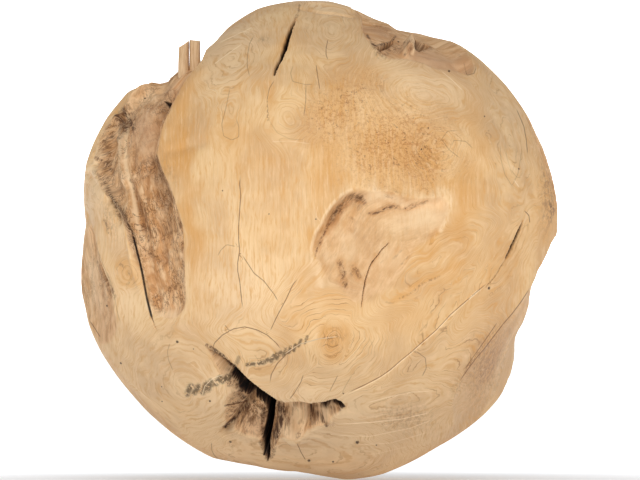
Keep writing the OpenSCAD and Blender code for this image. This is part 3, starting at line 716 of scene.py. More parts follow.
# Strokes of colour: path in pixels, half width, strength
strokes = {
    "mould": [
        ([(189, 392), (192, 384)], 2.4, 1.0), ([(196, 391), (199, 384)], 2.2, 1.0),
        ([(204, 390), (207, 382)], 2.3, 1.0), ([(209, 387), (212, 380)], 2.3, 1.0),
        ([(217, 382), (221, 376)], 2.2, 1.0), ([(223, 380), (229, 375)], 2.1, 1.0),
        ([(229, 378), (232, 373)], 1.8, 1.0), ([(237, 361), (240, 356)], 1.8, 0.6),
        ([(248, 363), (256, 362)], 1.3, 1.0), ([(257, 363), (262, 360)], 1.5, 1.0),
        ([(263, 361), (268, 358)], 1.6, 1.0), ([(271, 359), (276, 352)], 1.7, 1.0),
        ([(277, 356), (281, 350)], 1.5, 1.0), ([(284, 353), (286, 347)], 1.3, 1.0),
        ([(289, 350), (291, 345)], 1.2, 1.0), ([(294, 348), (296, 343)], 1.2, 1.0),
        ([(299, 344), (301, 338)], 1.1, 0.9), ([(305, 341), (307, 334)], 1.0, 0.9),
        ([(213, 384), (226, 377)], 1.4, 0.7), ([(192, 389), (210, 385)], 1.2, 0.5),
    ],
    "brown": [
        # Brown strokes along the left hollow's furrows: dirt with painted shade in the furrows; the other
        # strokes are stains
        ([(116, 102), (124, 110), (131, 121), (135, 129)], 3.0, 0.85),
        ([(111, 114), (119, 122), (124, 128)], 2.0, 0.6),
        ([(97, 158), (105, 162), (114, 171)], 2.6, 0.75), ([(96, 172), (104, 180), (112, 193)], 2.4, 0.6),
        ([(100, 150), (108, 147), (117, 140)], 1.8, 0.5),
        ([(104, 136), (113, 131), (122, 132)], 1.6, 0.5),
        ([(109, 193), (118, 204), (125, 214), (131, 225), (137, 242)], 2.4, 1.0),
        ([(158, 155), (163, 172), (170, 188), (176, 203)], 1.0, 0.8),
        ([(153, 153), (157, 168), (160, 182)], 1.0, 0.45),
        ([(133, 180), (138, 194), (145, 206), (148, 220)], 2.4, 0.65),
        ([(146, 224), (153, 231), (151, 240)], 2.0, 0.8),
        ([(158, 229), (167, 234), (178, 231)], 1.6, 0.6),
        ([(150, 252), (158, 257), (168, 250)], 1.8, 0.6),
        ([(160, 270), (170, 263), (179, 258)], 1.4, 0.5),
        ([(148, 200), (155, 192), (160, 199)], 1.6, 0.5),
        ([(152, 282), (160, 290), (168, 286)], 1.3, 0.4),
        ([(143, 163), (149, 160), (150, 172)], 1.2, 0.5),
        ([(163, 208), (171, 216), (178, 220)], 1.6, 0.5), ([(98, 262), (104, 278), (111, 292)], 1.6, 0.6),
        # Painted shadow under the ear's overhanging lip, down to (315.7, 255)
        ([(331, 221.5), (333.6, 214.7), (339, 207), (346, 200), (353.7, 195.5), (360.4, 197),
            (364, 204)], 2.4, 0.7),
        ([(315.7, 255), (320, 243.8), (326.8, 226), (331, 221.5)], 0.7, 0.9),
        ([(350, 218), (353, 220)], 2.0, 0.5),
        # Painted shadow along the line below the ear's lip
        ([(367, 213.6), (376, 212.5), (387, 208), (396, 205.8)], 1.2, 0.7),
        ([(403, 209.8), (414, 205.8), (425, 201)], 1.1, 0.6),
        ([(383, 198), (387, 196), (391, 198)], 1.1, 0.5),
        ([(339, 262), (343, 272), (345, 284)], 2.6, 0.8),
        ([(353, 266), (357, 270), (359, 275)], 2.2, 0.65), ([(380, 262), (386, 256)], 0.9, 0.4),
        # The first stroke is painted shade along the furrow below the ear
        ([(398, 297), (418, 285), (438, 275)], 0.8, 0.5), ([(392, 258), (400, 250)], 0.9, 0.4),
        ([(400, 264), (408, 256)], 0.9, 0.4),
        ([(208, 343.5), (216, 348.6), (222, 353), (229, 359), (236, 366)], 1.5, 1.0),
        ([(233, 370), (237, 379), (240, 389), (245, 399)], 2.2, 0.9),
        # Strokes in the mouth's furrows here and at (311, 402): dirt with painted shade in the furrows
        ([(255, 402), (240, 411), (225, 425)], 1.5, 0.9),
        ([(280, 402), (281, 415), (278, 430)], 4.6, 0.8),
        ([(311, 402), (313, 411), (310, 418)], 1.4, 0.8),
        ([(314, 414), (321, 418), (327, 422)], 2.6, 0.6),
        ([(262, 408), (262, 425), (265, 445)], 2.0, 0.6), ([(294, 402), (292, 412)], 1.2, 0.6),
        ([(246, 400), (236, 409), (228, 417)], 1.0, 0.7),
        ([(252, 408), (248, 420), (246, 432)], 1.2, 0.6),
        ([(258, 406), (256, 420), (259, 434)], 1.4, 0.6),
        ([(226, 403), (236, 402), (248, 400)], 0.9, 0.7),
        ([(272, 402), (270, 398), (262, 398)], 2.0, 0.9),
        ([(300, 420), (306, 412), (308, 404)], 1.2, 0.5), ([(286, 434), (291, 424)], 1.4, 0.5),
        ([(262, 440), (266, 450), (268, 458)], 2.4, 0.8),
        ([(276, 436), (274, 446), (271, 456)], 2.4, 0.8),
        ([(316, 404), (330, 405), (340, 406)], 1.6, 0.7), ([(300, 6), (298, 15), (296, 20)], 1.2, 0.6),
        # Painted shadow under the crack at the top, and along the knob's side
        ([(373, 46), (378, 54), (386, 53)], 3.4, 0.7), ([(404, 57), (409, 50), (408, 42)], 1.0, 0.6),
        ([(440, 40), (448, 48), (460, 56)], 1.4, 0.4), ([(508, 330), (513, 344), (517, 358)], 3.0, 0.35),
        ([(105, 220), (108, 226), (110, 232)], 1.6, 0.7),
        ([(122, 264), (130, 268), (134, 278), (128, 285)], 1.2, 0.5),
    ],
    "dark": [
        ([(216, 348.2), (222, 352), (229, 358), (235, 363.5), (240, 368.5)], 1.3, 0.9),
        ([(281, 402), (282, 412), (279, 422), (276, 434)], 3.4, 0.85),
        ([(264, 406), (263, 420), (265, 436)], 1.6, 0.7),
        # Strokes in the mouth's furrows here and at (311, 402): dirt with painted shade in the furrows
        ([(256, 398), (246, 405), (236, 415), (226, 424)], 0.9, 0.85),
        ([(226, 403), (238, 401), (250, 399)], 0.6, 0.7),
        ([(238, 372), (240, 384), (246, 396)], 1.4, 0.7),
        ([(311, 402), (312.5, 409), (311, 416)], 0.9, 0.8),
        ([(318, 411), (322, 416), (327, 423)], 1.8, 0.6),
        ([(250, 402), (246, 414), (240, 422)], 0.8, 0.5), ([(367, 36), (371, 43), (375, 48)], 0.9, 0.8),
        ([(375, 47), (383, 46), (390, 43), (395, 36)], 0.8, 0.8),
        # Painted shadow along the knob's side
        ([(404, 56), (408, 50), (407, 44)], 0.8, 0.6),
        # Strokes along the left hollow's furrows: dirt with painted shade in the furrows
        ([(118, 104), (125, 112), (131, 122), (135, 129)], 1.6, 0.8),
        ([(113, 112), (121, 119), (126, 127)], 1.2, 0.7), ([(122, 107), (131, 117)], 1.0, 0.6),
        ([(104, 140), (112, 136), (120, 138)], 0.9, 0.5), ([(99, 158), (107, 163), (114, 171)], 1.2, 0.6),
        ([(98, 173), (105, 181), (112, 192)], 1.1, 0.5),
        ([(112, 196), (120, 206), (127, 217), (133, 230)], 1.2, 0.8),
        # Painted shadow under the ear's lip and along the line below it
        ([(333, 215), (339, 206.5), (346, 200), (353, 196.5), (360, 199)], 1.8, 0.45),
        ([(368, 213), (377, 212), (387, 208), (396, 206)], 0.8, 0.45),
        ([(548, 197), (549.5, 208), (548, 222)], 2.0, 0.4),
    ],
    "pale": [
        ([(312, 262), (312, 247), (316, 232), (323, 218), (332, 204), (341, 195), (352, 190)], 1.2, 0.8),
        ([(128, 116), (127, 145), (127, 168), (132, 185), (136, 205), (140, 223), (145, 240)], 1.5, 0.9),
        ([(364, 199), (376, 196), (390, 198), (404, 204)], 3.0, 0.9),
        ([(446, 204), (444, 218), (439, 230)], 2.0, 0.8),
        ([(405, 56), (404, 48), (407, 40), (411, 38), (414, 44), (412, 54)], 1.6, 0.9),
        ([(150, 306), (162, 313), (176, 313)], 3.0, 0.7), ([(163, 80), (152, 95), (140, 104)], 3.0, 0.4),
        ([(318, 262), (318, 274), (321, 284)], 2.6, 0.7),
    ],
    "warm": [
        ([(340, 262), (344, 284)], 4.5, 0.9), ([(353, 264), (358, 276)], 3.5, 0.8),
        ([(352, 212), (346, 228)], 5.0, 0.6), ([(386, 262), (398, 248)], 2.0, 0.7),
        # Painted shade along the furrow below the ear, in a warm colour
        ([(392, 300), (415, 284), (440, 271), (462, 262)], 3.0, 0.7),
        ([(398, 268), (412, 252)], 2.0, 0.7), ([(447, 206), (446, 218)], 1.4, 0.9),
        ([(428, 242), (433, 234), (438, 228)], 3.4, 1.0), ([(327, 331), (333, 351)], 9.0, 1.0),
        ([(107, 222), (109, 231)], 3.5, 0.8), ([(126, 268), (129, 280)], 9.0, 0.8),
        ([(146, 170), (152, 215), (160, 262), (168, 296)], 13.0, 0.75),
    ],
}


def tint(name, ways, u, v, stir, made):
    # How strongly a tint shows: the strongest of its ovals and strokes. Those near the outline
    # fade towards it, pink and dull ones slowly
    shown = ease(-ways[:, 1] / (0.35 if name in ("pink", "dull") else 0.08))
    stirred = 7 * (1 if name != "brown" else 0.4)
    total = np.zeros(len(u))
    for row in tints[name]:
        far = oval(u + stirred * stir[:, 0], v + stirred * stir[:, 2], row)
        total = np.maximum(total, row[3] * np.exp(-(far**2)) * shown)
    for path, half, strength in strokes.get(name, []):
        found, far, _ = tracked(u + stir[:, 0], v + stir[:, 2], ways[:, 1] < 0, path, 2 * half + 3)
        far = np.abs(far)
        patch = strength * ease((1.6 * half + 0.4 - far) / (1.2 * half)) * shown[found]
        total[found] = np.maximum(total[found], patch)
        refine(made, found, far - 1.6 * half, max(0.9, half * 0.5), 0.6)
    return total


# Growth rings round a place: middle, half sizes, turn in degrees, gap in pixels, how dark
swirls = [
    ((331, 338), (56, 48), -20, 4.6, 1.0), ((333, 30), (26, 34), 0, 4.0, 0.5),
    ((232, 112), (11, 30), 8, 5.0, 0.6), ((290, 122), (22, 22), 0, 5.0, 0.35),
    ((508, 142), (19, 58), -10, 5.0, 0.6), ((252, 352), (40, 26), 10, 8.0, 0.7),
    ((425, 96), (46, 22), 12, 3.2, 0.4), ((438, 148), (26, 22), 10, 5.0, 0.6),
    ((455, 305), (52, 20), -42, 6.0, 0.9), ((438, 372), (58, 24), -36, 6.0, 0.9),
    ((395, 400), (60, 18), -10, 6.0, 0.7), ((300, 450), (80, 24), 4, 8.0, 0.6),
    ((185, 380), (42, 46), -30, 7.0, 0.4), ((331, 340), (10, 16), 4, 2.6, 0.8),
    ((232, 60), (30, 24), -40, 6.0, 0.6), ((508, 252), (13, 66), 34, 4.0, 0.5),
    ((428, 266), (60, 16), -36, 3.6, 0.5), ((130, 272), (14, 16), -35, 5.0, 0.7),
    ((100, 130), (26, 60), 25, 5.0, 0.4),
]

# The same round places on the back, in degrees
backKnots = [(-30, 10), (20, 30), (30, -30), (-20, -45), (70, 20), (-70, 30)]


def rings(ways, u, v, stir, hidden):
    # Growth rings: a number that rises by one from ring to ring, and how dark they are
    wavy = stir[:, 1] * 0.25 + 0.8 * layered(ways * 2.2, 111, 2)
    ring = u / ball["ringGap"] + wavy
    dark = np.full(len(u), 0.28)
    for row in swirls:
        (cu, _), half, _, gap, show = row
        far = oval(u + 4 * stir[:, 0], v + 4 * stir[:, 2], row)
        mixed = ease((1.7 - far) / 0.8) * (ways[:, 1] < 0)
        own = cu / ball["ringGap"] + (far - 1) * min(half) / gap + 0.35 * wavy
        ring = ring * (1 - mixed) + own * mixed
        dark = dark * (1 - mixed) + show * mixed
    behind = 150 * ways[:, 0] / 2.6 + wavy
    for k, way in enumerate(placed(backKnots, back)):
        far = np.linalg.norm(ways - way, axis=1) * (1 + 0.12 * stir[:, 0])
        mixed = ease((0.62 - far) / 0.34)
        behind = behind * (1 - mixed) + (far * 46 + 11 * k) * mixed
    return ring * (1 - hidden) + behind * hidden, dark * (1 - hidden) + 0.55 * hidden


def shape(ways):
    # Everything that the ball's surface is, at these directions
    stir = np.stack([layered(ways * 14, seed, 2) for seed in (11, 21, 31)], 1)
    bent = unit(ways + stir * 0.0032)
    made = {name: np.zeros(len(ways)) for name in ("height", "torn", "deep", "relief", "calm", "dot")}
    made["lay"], made["run"] = ways[:, 0] * ball["radius"], ways[:, 2] * ball["radius"]
    face = ease((ways[:, 1] + 0.25) / 0.5)
    made["edge"] = ball["plainEdge"] * (1 - face) + ball["backEdge"] * face
    swell(ways, made)
    sinkHollows(ways, bent, made)
    planeFlat(ways, made)
    raiseRidges(bent, made)
    dropLedge(bent, made)
    sinkCaves(ways, bent, made)
    openCracks(ways, made)

    # From here on places are pixels where the front view shows them
    grown = 1 + made["height"] / ball["radius"]
    u = viewMiddle[0] + viewRadius * ways[:, 0] * grown
    v = viewMiddle[1] - viewRadius * ways[:, 2] * grown
    isFront = ways[:, 1] < 0
    made["line"], made["lineNear"] = traced(u, v, isFront, lines, made["edge"])
    made["scratch"], made["scratchNear"] = traced(u, v, isFront, scratchesAndHighlights, made["edge"])
    for (cu, cv), half in dots:
        far = np.hypot(u - cu, v - cv) + 1e3 * ~isFront
        made["dot"] = np.maximum(made["dot"], np.exp(-((far / half) ** 2)))
        made["edge"] = np.minimum(made["edge"], 0.5 + ball["grading"] * far)
    for row in calms:
        made["calm"] = np.maximum(made["calm"], row[3] * np.exp(-(oval(u, v, row) ** 4)) * isFront)
    for name in tints:
        made[name] = tint(name, ways, u, v, stir, made)

    # The hidden sides have broad clouds of the same tints
    hidden = ease((ways[:, 1] + 0.05) / 0.3)
    for name, level, grain, seed in (("warm", 0.35, 3.1, 81), ("pale", 0.2, 3.7, 91), ("dull", 0.3, 2.7, 101)):
        clouds = hidden * np.clip(level + 0.6 * layered(ways * grain, seed, 3), 0, 1)
        made[name] = np.maximum(made[name], clouds)
    made["ring"], made["ringDark"] = rings(ways, u, v, stir, hidden)
    return made


def refined(ways, faces, made):
    # One pass: splits the triangle sides that are longer than their places ask for
    first, second = faces[:, [0, 1, 2]].ravel(), faces[:, [1, 2, 0]].ravel()
    low, high = np.minimum(first, second), np.maximum(first, second)
    keys, owners = np.unique(low * len(ways) + high, return_inverse=True)
    a, b = keys // len(ways), keys % len(ways)
    length = np.linalg.norm(ways[a] - ways[b], axis=1) * ball["radius"]
    drop = np.abs(made["height"][a] - made["height"][b])
    wanted = np.minimum(made["edge"][a], made["edge"][b])
    split = (length > wanted * 1.35) | ((drop > 3) & (length > 0.75))
    number = np.full(len(keys), -1)
    number[split] = len(ways) + np.arange(split.sum())
    fresh = unit(ways[a[split]] + ways[b[split]])
    middles = number[owners].reshape(-1, 3)
    marks = (middles >= 0).sum(1)
    out = [faces[marks == 0]]
    f, m = faces[marks == 3], middles[marks == 3]
    out += [np.stack(t, 1) for t in ((f[:, 0], m[:, 0], m[:, 2]), (m[:, 0], f[:, 1], m[:, 1]),
                                     (m[:, 2], m[:, 1], f[:, 2]), (m[:, 0], m[:, 1], m[:, 2]))]
    everywhere = np.concatenate([ways, fresh])
    for k in range(3):
        turn = [(k + j) % 3 for j in range(3)]
        one = (marks == 1) & (middles[:, k] >= 0)
        f, m = faces[one][:, turn], middles[one][:, k]
        out += [np.stack((f[:, 0], m, f[:, 2]), 1), np.stack((m, f[:, 1], f[:, 2]), 1)]
        two = (marks == 2) & (middles[:, (k + 2) % 3] < 0)
        f, m, n = faces[two][:, turn], middles[two][:, k], middles[two][:, (k + 1) % 3]
        out.append(np.stack((m, f[:, 1], n), 1))
        straight = (np.linalg.norm(everywhere[f[:, 0]] - everywhere[n], axis=1)
                    < np.linalg.norm(everywhere[m] - everywhere[f[:, 2]], axis=1))[:, None]
        out.append(np.where(straight, np.stack((f[:, 0], m, n), 1), np.stack((f[:, 0], m, f[:, 2]), 1)))
        out.append(np.where(straight, np.stack((f[:, 0], n, f[:, 2]), 1), np.stack((m, n, f[:, 2]), 1)))
    return fresh, np.concatenate(out)


# Start from an even ball of triangles and refine it where the surface asks for it
start = bmesh.new()
bmesh.ops.create_icosphere(start, subdivisions=6, radius=1)
ways = unit(np.array([p.co for p in start.verts]))
faces = np.array([[p.index for p in f.verts] for f in start.faces])
start.free()
made = shape(ways)
for step in range(ball["passes"]):
    fresh, faces = refined(ways, faces, made)
    if not len(fresh):
        break
    more = shape(fresh)
    ways = np.concatenate([ways, fresh])
    made = {name: np.concatenate([made[name], more[name]]) for name in made}
    print("ball refined", step, len(ways), len(faces))

# Outline of the ball in the front view: angle in degrees from the right, radius in pixels
outline = [
    (0, 235), (5, 240), (10, 242.5), (20, 242), (30, 242), (45, 242), (50, 241), (55, 240.5), (60, 238),
    (65, 229), (70, 228), (75, 231), (80, 233), (85, 238), (90, 240), (95, 241), (100, 240), (105, 240.5),
    (110, 237), (115, 231), (120, 224), (125, 222), (130, 222), (135, 227), (140, 242), (145, 245),
    (150, 246), (160, 247), (165, 245), (170, 241.5), (175, 236), (180, 237), (185, 240), (190, 244.5),
    (200, 246), (205, 247), (210, 245), (220, 243.5), (245, 243), (250, 239), (255, 235.5), (260, 234),
    (265, 233), (270, 237), (275, 241), (285, 243), (290, 241), (300, 238), (310, 239.5), (320, 239.5),
    (325, 234), (330, 227), (335, 221), (340, 218), (345, 220.5), (350, 218), (355, 226), (360, 235),
]


def outlineFit(ways, made):
    # How far the rim has to move so that the front view has the outline measured above
    angle = np.degrees(np.arctan2(ways[:, 2], ways[:, 0])) % 360
    off = np.hypot(ways[:, 0], ways[:, 2]) * (ball["radius"] + made["height"])
    widest = np.zeros(72)
    np.maximum.at(widest, (angle / 5).astype(int) % 72, off)
    middles = np.arange(72) * 5 + 2.5
    lack = np.interp(middles, *zip(*outline)) * ball["radius"] / viewRadius - widest
    print("outline lacks", round(lack.min(), 1), "to", round(lack.max(), 1), "mm")
    lack = np.clip(lack, *ball["fit"])
    rows = np.concatenate([[-2.5], middles, [362.5]])
    values = np.concatenate([lack[-1:], lack, lack[:1]])
    return np.interp(angle, rows, values) * np.exp(-((ways[:, 1] / 0.3) ** 2))


made["height"] += outlineFit(ways, made)
points = ways * (ball["radius"] + made["height"])[:, None]

# The split stub at the upper left, in millimetres from its foot
stub = {
    "foot": (-46, 62),      # degrees on the front
    "sunk": 11,             # how far the foot lies below the round
    "root": -12,            # where the splinters start, inside the wood
    "thick": 12,
    "splinters": [(-7.3, (10.5, 14.6), 7.1), (-0.4, (15.2, 14.6), 7.4)],    # left side, tops, width
    "around": 14,           # points round a splinter, and steps up it
    "levels": 12,
    "rough": 0.35,
}
stubLook = {"ringDark": 1.0, "pale": 0.15, "dull": 1.0, "pink": 0.5, "line": 9.0, "scratch": 9.0}


def splinter(left, tops, wide, seed):
    # One upright splinter of the stub: rings of points from its root up to a slanted top
    around, levels, root = stub["around"], stub["levels"], stub["root"]
    rows = []
    for k in range(levels + 1):
        rise = k / levels
        for j in range(around):
            t = 2 * math.pi * j / around
            x, y = math.cos(t), math.sin(t)
            square = max(abs(x), abs(y)) ** 0.6
            x, y = x / square, y / square
            top = tops[0] + (tops[1] - tops[0]) * (x + 1) / 2
            lean = 1 - 0.12 * rise
            rows.append((left + wide * (0.5 + 0.5 * x * lean), stub["thick"] / 2 * y * (1 - 0.25 * rise),
                         root + (top - root) * rise))
    p = np.array(rows)
    p += stub["rough"] * np.stack([noise(p * (0.5, 0.5, 0.16), seed + k) for k in range(3)], 1)
    p = np.concatenate([p, [p[:around].mean(0), p[-around:].mean(0)]])
    low, high = len(rows), len(rows) + 1
    last = levels * around
    quads = []
    for j in range(around):
        n = (j + 1) % around
        quads += [(low, n, j), (high, last + j, last + n)]
        for k in range(levels):
            a, b = k * around, (k + 1) * around
            quads += [(a + j, a + n, b + n), (a + j, b + n, b + j)]
    return p, np.array(quads)


foot = placed([stub["foot"]])[0] * (ball["radius"] - stub["sunk"])
for part, (left, tops, wide) in enumerate(stub["splinters"]):
    more, quads = splinter(left, tops, wide, 131 + 10 * part)
    more = more + foot
    faces = np.concatenate([faces, quads + len(points)])
    points = np.concatenate([points, more])
    look = {**stubLook, "ring": more[:, 0] / 2, "lay": more[:, 0], "run": more[:, 2]}
    for name in made:
        made[name] = np.concatenate([made[name], np.zeros(len(more)) + look.get(name, 0.0)])
print("stub of", len(stub["splinters"]), "splinters")

points /= 1000
low, high = np.array(cadLow) + ball["boxGap"] / 1000, np.array(cadHigh) - ball["boxGap"] / 1000
over = np.maximum(points - high, 0) + np.maximum(low - points, 0)
print("beyond the box by", over.max(0) * 1000, "mm")
points = np.clip(points, low, high)

mesh = bpy.data.meshes.new("wooden_ball")
mesh.from_pydata(points.tolist(), [], faces.tolist())
for name in ("torn", "deep", "relief", "calm", "lay", "run", "line", "lineNear", "scratch", "scratchNear", "dot",
             "mould", "warm", "pale", "dull", "brown", "dark", "pink", "burl", "ring", "ringDark"):
    layer = mesh.attributes.new(name, "FLOAT", "POINT")
    layer.data.foreach_set("value", made[name].astype(np.float32))
mesh.shade_smooth()
piece = bpy.data.objects.new("wooden_ball", mesh)
bpy.context.scene.collection.objects.link(piece)
print("ball", len(mesh.polygons), "triangles")


class Wire:
    # A socket of the material being made, with arithmetic
    tree = None

    def __init__(self, socket):
        self.socket = socket

    @staticmethod
    def make(kind, settings, inputs, output=0):
        node = Wire.tree.nodes.new(kind)
        for name, value in settings.items():
            setattr(node, name, value)
        for name, value in inputs.items():
            if isinstance(value, Wire):
                Wire.tree.links.new(value.socket, node.inputs[name])
            else:
                node.inputs[name].default_value = value
        return Wire(node.outputs[output])

    @staticmethod
    def field(name):
        return Wire.make("ShaderNodeAttribute", {"attribute_name": name}, {}, 2)

    @staticmethod
    def maths(kind, a, b=0.0):
        return Wire.make("ShaderNodeMath", {"operation": kind}, {0: a, 1: b})

    def __add__(self, other):
        return Wire.maths("ADD", self, other)

    def __radd__(self, other):
        return Wire.maths("ADD", other, self)

    def __sub__(self, other):
        return Wire.maths("SUBTRACT", self, other)

    def __rsub__(self, other):
        return Wire.maths("SUBTRACT", other, self)

    def __mul__(self, other):
        return Wire.maths("MULTIPLY", self, other)

    def __rmul__(self, other):
        return Wire.maths("MULTIPLY", other, self)

    def __truediv__(self, other):
        return Wire.maths("DIVIDE", self, other)

    def __abs__(self):
        return Wire.maths("ABSOLUTE", self)

    def least(self, other):
        return Wire.maths("MINIMUM", self, other)

    def most(self, other):
        return Wire.maths("MAXIMUM", self, other)

    def fraction(self):
        return Wire.maths("FRACT", self)

    def between(self, low, high, first=0.0, last=1.0):
        # Smooth step: first at low, last at high
        return Wire.make("ShaderNodeMapRange", {"interpolation_type": "SMOOTHSTEP"},
                         {"Value": self, "From Min": low, "From Max": high, "To Min": first, "To Max": last})


def vector(x, y, z):
    return Wire.make("ShaderNodeCombineXYZ", {}, {0: x, 1: y, 2: z})


def cloud(at, scale, detail=2.0, grain=0.5):
    inputs = {"Vector": at, "Scale": scale, "Detail": detail, "Roughness": grain}
    return Wire.make("ShaderNodeTexNoise", {}, inputs)


def blend(share, a, b):
    return Wire.make("ShaderNodeMix", {"data_type": "RGBA"}, {0: share, 6: a, 7: b}, 2)


def paint(r, g, b):
    # A colour as the screen shows it, 0 to 255, in the renderer's linear terms
    linear = [c / 255 / 12.92 if c <= 10.3 else ((c / 255 + 0.055) / 1.055) ** 2.4 for c in (r, g, b)]
    return (*linear, 1.0)


# The wood's colours, as the screen shows them
wood = {
    "cream": paint(232, 195, 144),
    "honey": paint(213, 158, 92),
    "tan": paint(206, 166, 120),
    "pale": paint(240, 208, 165),
    "dull": paint(211, 184, 148),
    "dullGrain": paint(176, 141, 104),
    "pink": paint(193, 147, 103),
    "ring": paint(160, 114, 68),
    "rust": paint(176, 112, 58),
    "curl": paint(168, 112, 58),
    "brown": paint(126, 86, 56),
    # Stains and dark marks, and painted shadow under the ear's lip, round the knob, under the top crack and in
    # furrows
    "stainAndShadow": paint(112, 75, 47),
    "darkMarkAndShadow": paint(70, 47, 34),
    "mould": paint(92, 74, 52),
    "hairline": paint(112, 72, 42),
    "crack": paint(40, 25, 16),
    # Pale scratches and the painted highlight along the ledge
    "scratch": paint(246, 221, 182),
    # Colours of the painted shade in caves and deep cracks; dark also colours the small spots
    "caveFibre": paint(84, 56, 38),
    "dark": paint(58, 36, 22),
    "black": paint(18, 10, 7),
}
floorWood = {
    "light": paint(228, 188, 143),
    "brown": paint(200, 151, 101),
    "warm": paint(198, 140, 86),
    "pink": paint(196, 153, 118),
    "darkFibre": paint(142, 98, 62),
    "paleFibre": paint(236, 206, 168),
    # Painted shade with dirt for the furrows, and painted light for the crests
    "furrow": paint(120, 80, 50),
    "crestLight": paint(232, 204, 166),
    "squiggle": paint(96, 61, 36),
}

material = bpy.data.materials.new("root_wood")
material.use_nodes = True
Wire.tree = material.node_tree
shader = Wire.tree.nodes["Principled BSDF"]

place = Wire.make("ShaderNodeTexCoord", {}, {}, 3)
px, py, pz = (Wire.make("ShaderNodeSeparateXYZ", {}, {0: place}, k) * 1000 for k in range(3))
mm = vector(px, py, pz)

torn, deep = Wire.field("torn"), Wire.field("deep")
ring = Wire.field("ring") + (cloud(mm, 0.05, 3.0) - 0.5) + (cloud(mm, 0.4, 1.0) - 0.5) * 0.25
ringDark = Wire.field("ringDark")

# Fine fibres follow the rings: noise that changes fast across them and slowly along them
thread = cloud(vector(ring * 1.7, py * 0.03, pz * 0.035 + px * 0.01), 1.0, 2.0, 0.6)
hair = cloud(vector(ring * 2.3, py * 0.08 + px * 0.03, pz * 0.12), 1.0, 2.0, 0.6)
patch = cloud(mm, 0.03, 3.0, 0.55)
grit = cloud(mm, 1.3, 2.0, 0.6)

colour = blend(patch.between(0.35, 0.68), wood["cream"], wood["tan"])
colour = blend(Wire.field("warm") * (0.75 + patch * 0.5), colour, wood["honey"])
colour = blend(Wire.field("dull") * 0.85, colour, wood["dull"])
colour = blend(Wire.field("pink") * 0.8, colour, wood["pink"])
colour = blend(Wire.field("pale") * 0.85, colour, wood["pale"])

streak = thread.between(0.48, 0.75) * 0.28 + hair.between(0.5, 0.66) * 0.5
colour = blend(streak * (1 - torn * 0.6) * (1 - Wire.field("dull") * 0.45), colour, wood["honey"])
colour = blend(hair.between(0.5, 0.66) * Wire.field("dull") * 0.4, colour, wood["dullGrain"])
colour = blend(thread.between(0.5, 0.3) * 0.2 + hair.between(0.46, 0.3) * 0.25, colour, wood["pale"])

# Growth rings are thin dark lines, stronger on one side of the ring
fromRing = abs(ring.fraction() - 0.5)
drawn = fromRing.between(0.42, 0.49) * ringDark * cloud(mm, 0.09, 2.0).between(0.34, 0.66) * (1 - torn)
colour = blend(drawn * 0.8, colour, wood["ring"])

speck = cloud(mm, 0.5, 3.0, 0.7).between(0.5, 0.62) * Wire.field("burl")
colour = blend(speck * 0.6, colour, wood["rust"])
curl = abs(cloud(mm, 0.22, 3.0, 0.6) - 0.5).between(0.03, 0.0) * Wire.field("burl")
colour = blend(curl * 0.6, colour, wood["curl"])
eye = cloud(mm, 0.36, 2.0, 0.8).between(0.61, 0.68) * Wire.field("burl")
colour = blend(eye * 0.75, colour, wood["brown"])

# Torn floors: fibres along the flow, painted light on the crests and painted shade with dirt in the furrows,
# with dark squiggles
lay, run, relief = Wire.field("lay"), Wire.field("run"), Wire.field("relief")
ragged = 1 - Wire.field("calm") * 0.95
fibre = cloud(vector(lay * 0.85, run * 0.16, py * 0.03), 1.0, 4.0, 0.65)
mottle = cloud(vector(lay * 0.17, run * 0.09, py * 0.06), 1.0, 3.0, 0.6)
worm = cloud(vector(lay * 0.4, run * 0.17, py * 0.1), 1.0, 4.0, 0.7)
scribble = cloud(vector(lay * 0.6, run * 0.3, py * 0.2), 1.0, 4.0, 0.75)
squiggle = abs(worm - 0.5).between(0.045, 0.0) * cloud(mm, 0.075, 2.0).between(0.4, 0.55)
floor = blend(mottle.between(0.36, 0.64), floorWood["light"], floorWood["brown"])
floor = blend(Wire.field("warm") * mottle.between(0.3, 0.6) * 0.85, floor, floorWood["warm"])
floor = blend(Wire.field("pink") * 0.75, floor, floorWood["pink"])
floor = blend(fibre.between(0.48, 0.7) * ragged * 0.48, floor, floorWood["darkFibre"])
floor = blend(fibre.between(0.5, 0.3) * ragged * 0.4, floor, floorWood["paleFibre"])
# Painted shade with dirt in the furrows and painted light on the crests of the relief
floor = blend(relief.between(-0.1, -2.0) * ragged * 0.5, floor, floorWood["furrow"])
floor = blend(relief.between(0.2, 1.8) * ragged * 0.5, floor, floorWood["crestLight"])
floor = blend(Wire.field("pale") * 0.8, floor, wood["pale"])
colour = blend(torn.between(0.1, 0.7), colour, floor)
colour = blend(squiggle * ragged * torn.between(0.5, 0.95) * 0.8, colour, floorWood["squiggle"])
# Brown and dark marks: stains, and painted shadow under the ear's lip, round the knob, under the top crack and
# in furrows
stainAndShadow = Wire.field("brown") * (0.3 + scribble.between(0.4, 0.62) * 0.7)
colour = blend(stainAndShadow.between(0.05, 0.95) * 0.92, colour, wood["stainAndShadow"])
darkMarkAndShadow = Wire.field("dark") * (0.35 + scribble.between(0.38, 0.6) * 0.65)
colour = blend(darkMarkAndShadow.between(0.05, 0.9) * 0.9, colour, wood["darkMarkAndShadow"])

black = Wire.field("mould") * cloud(mm, 0.45, 3.0, 0.7).between(0.34, 0.5)
colour = blend(black * 0.85, colour, wood["mould"])
colour = blend(Wire.field("dot").between(0.25, 0.7) * 0.9, colour, wood["dark"])

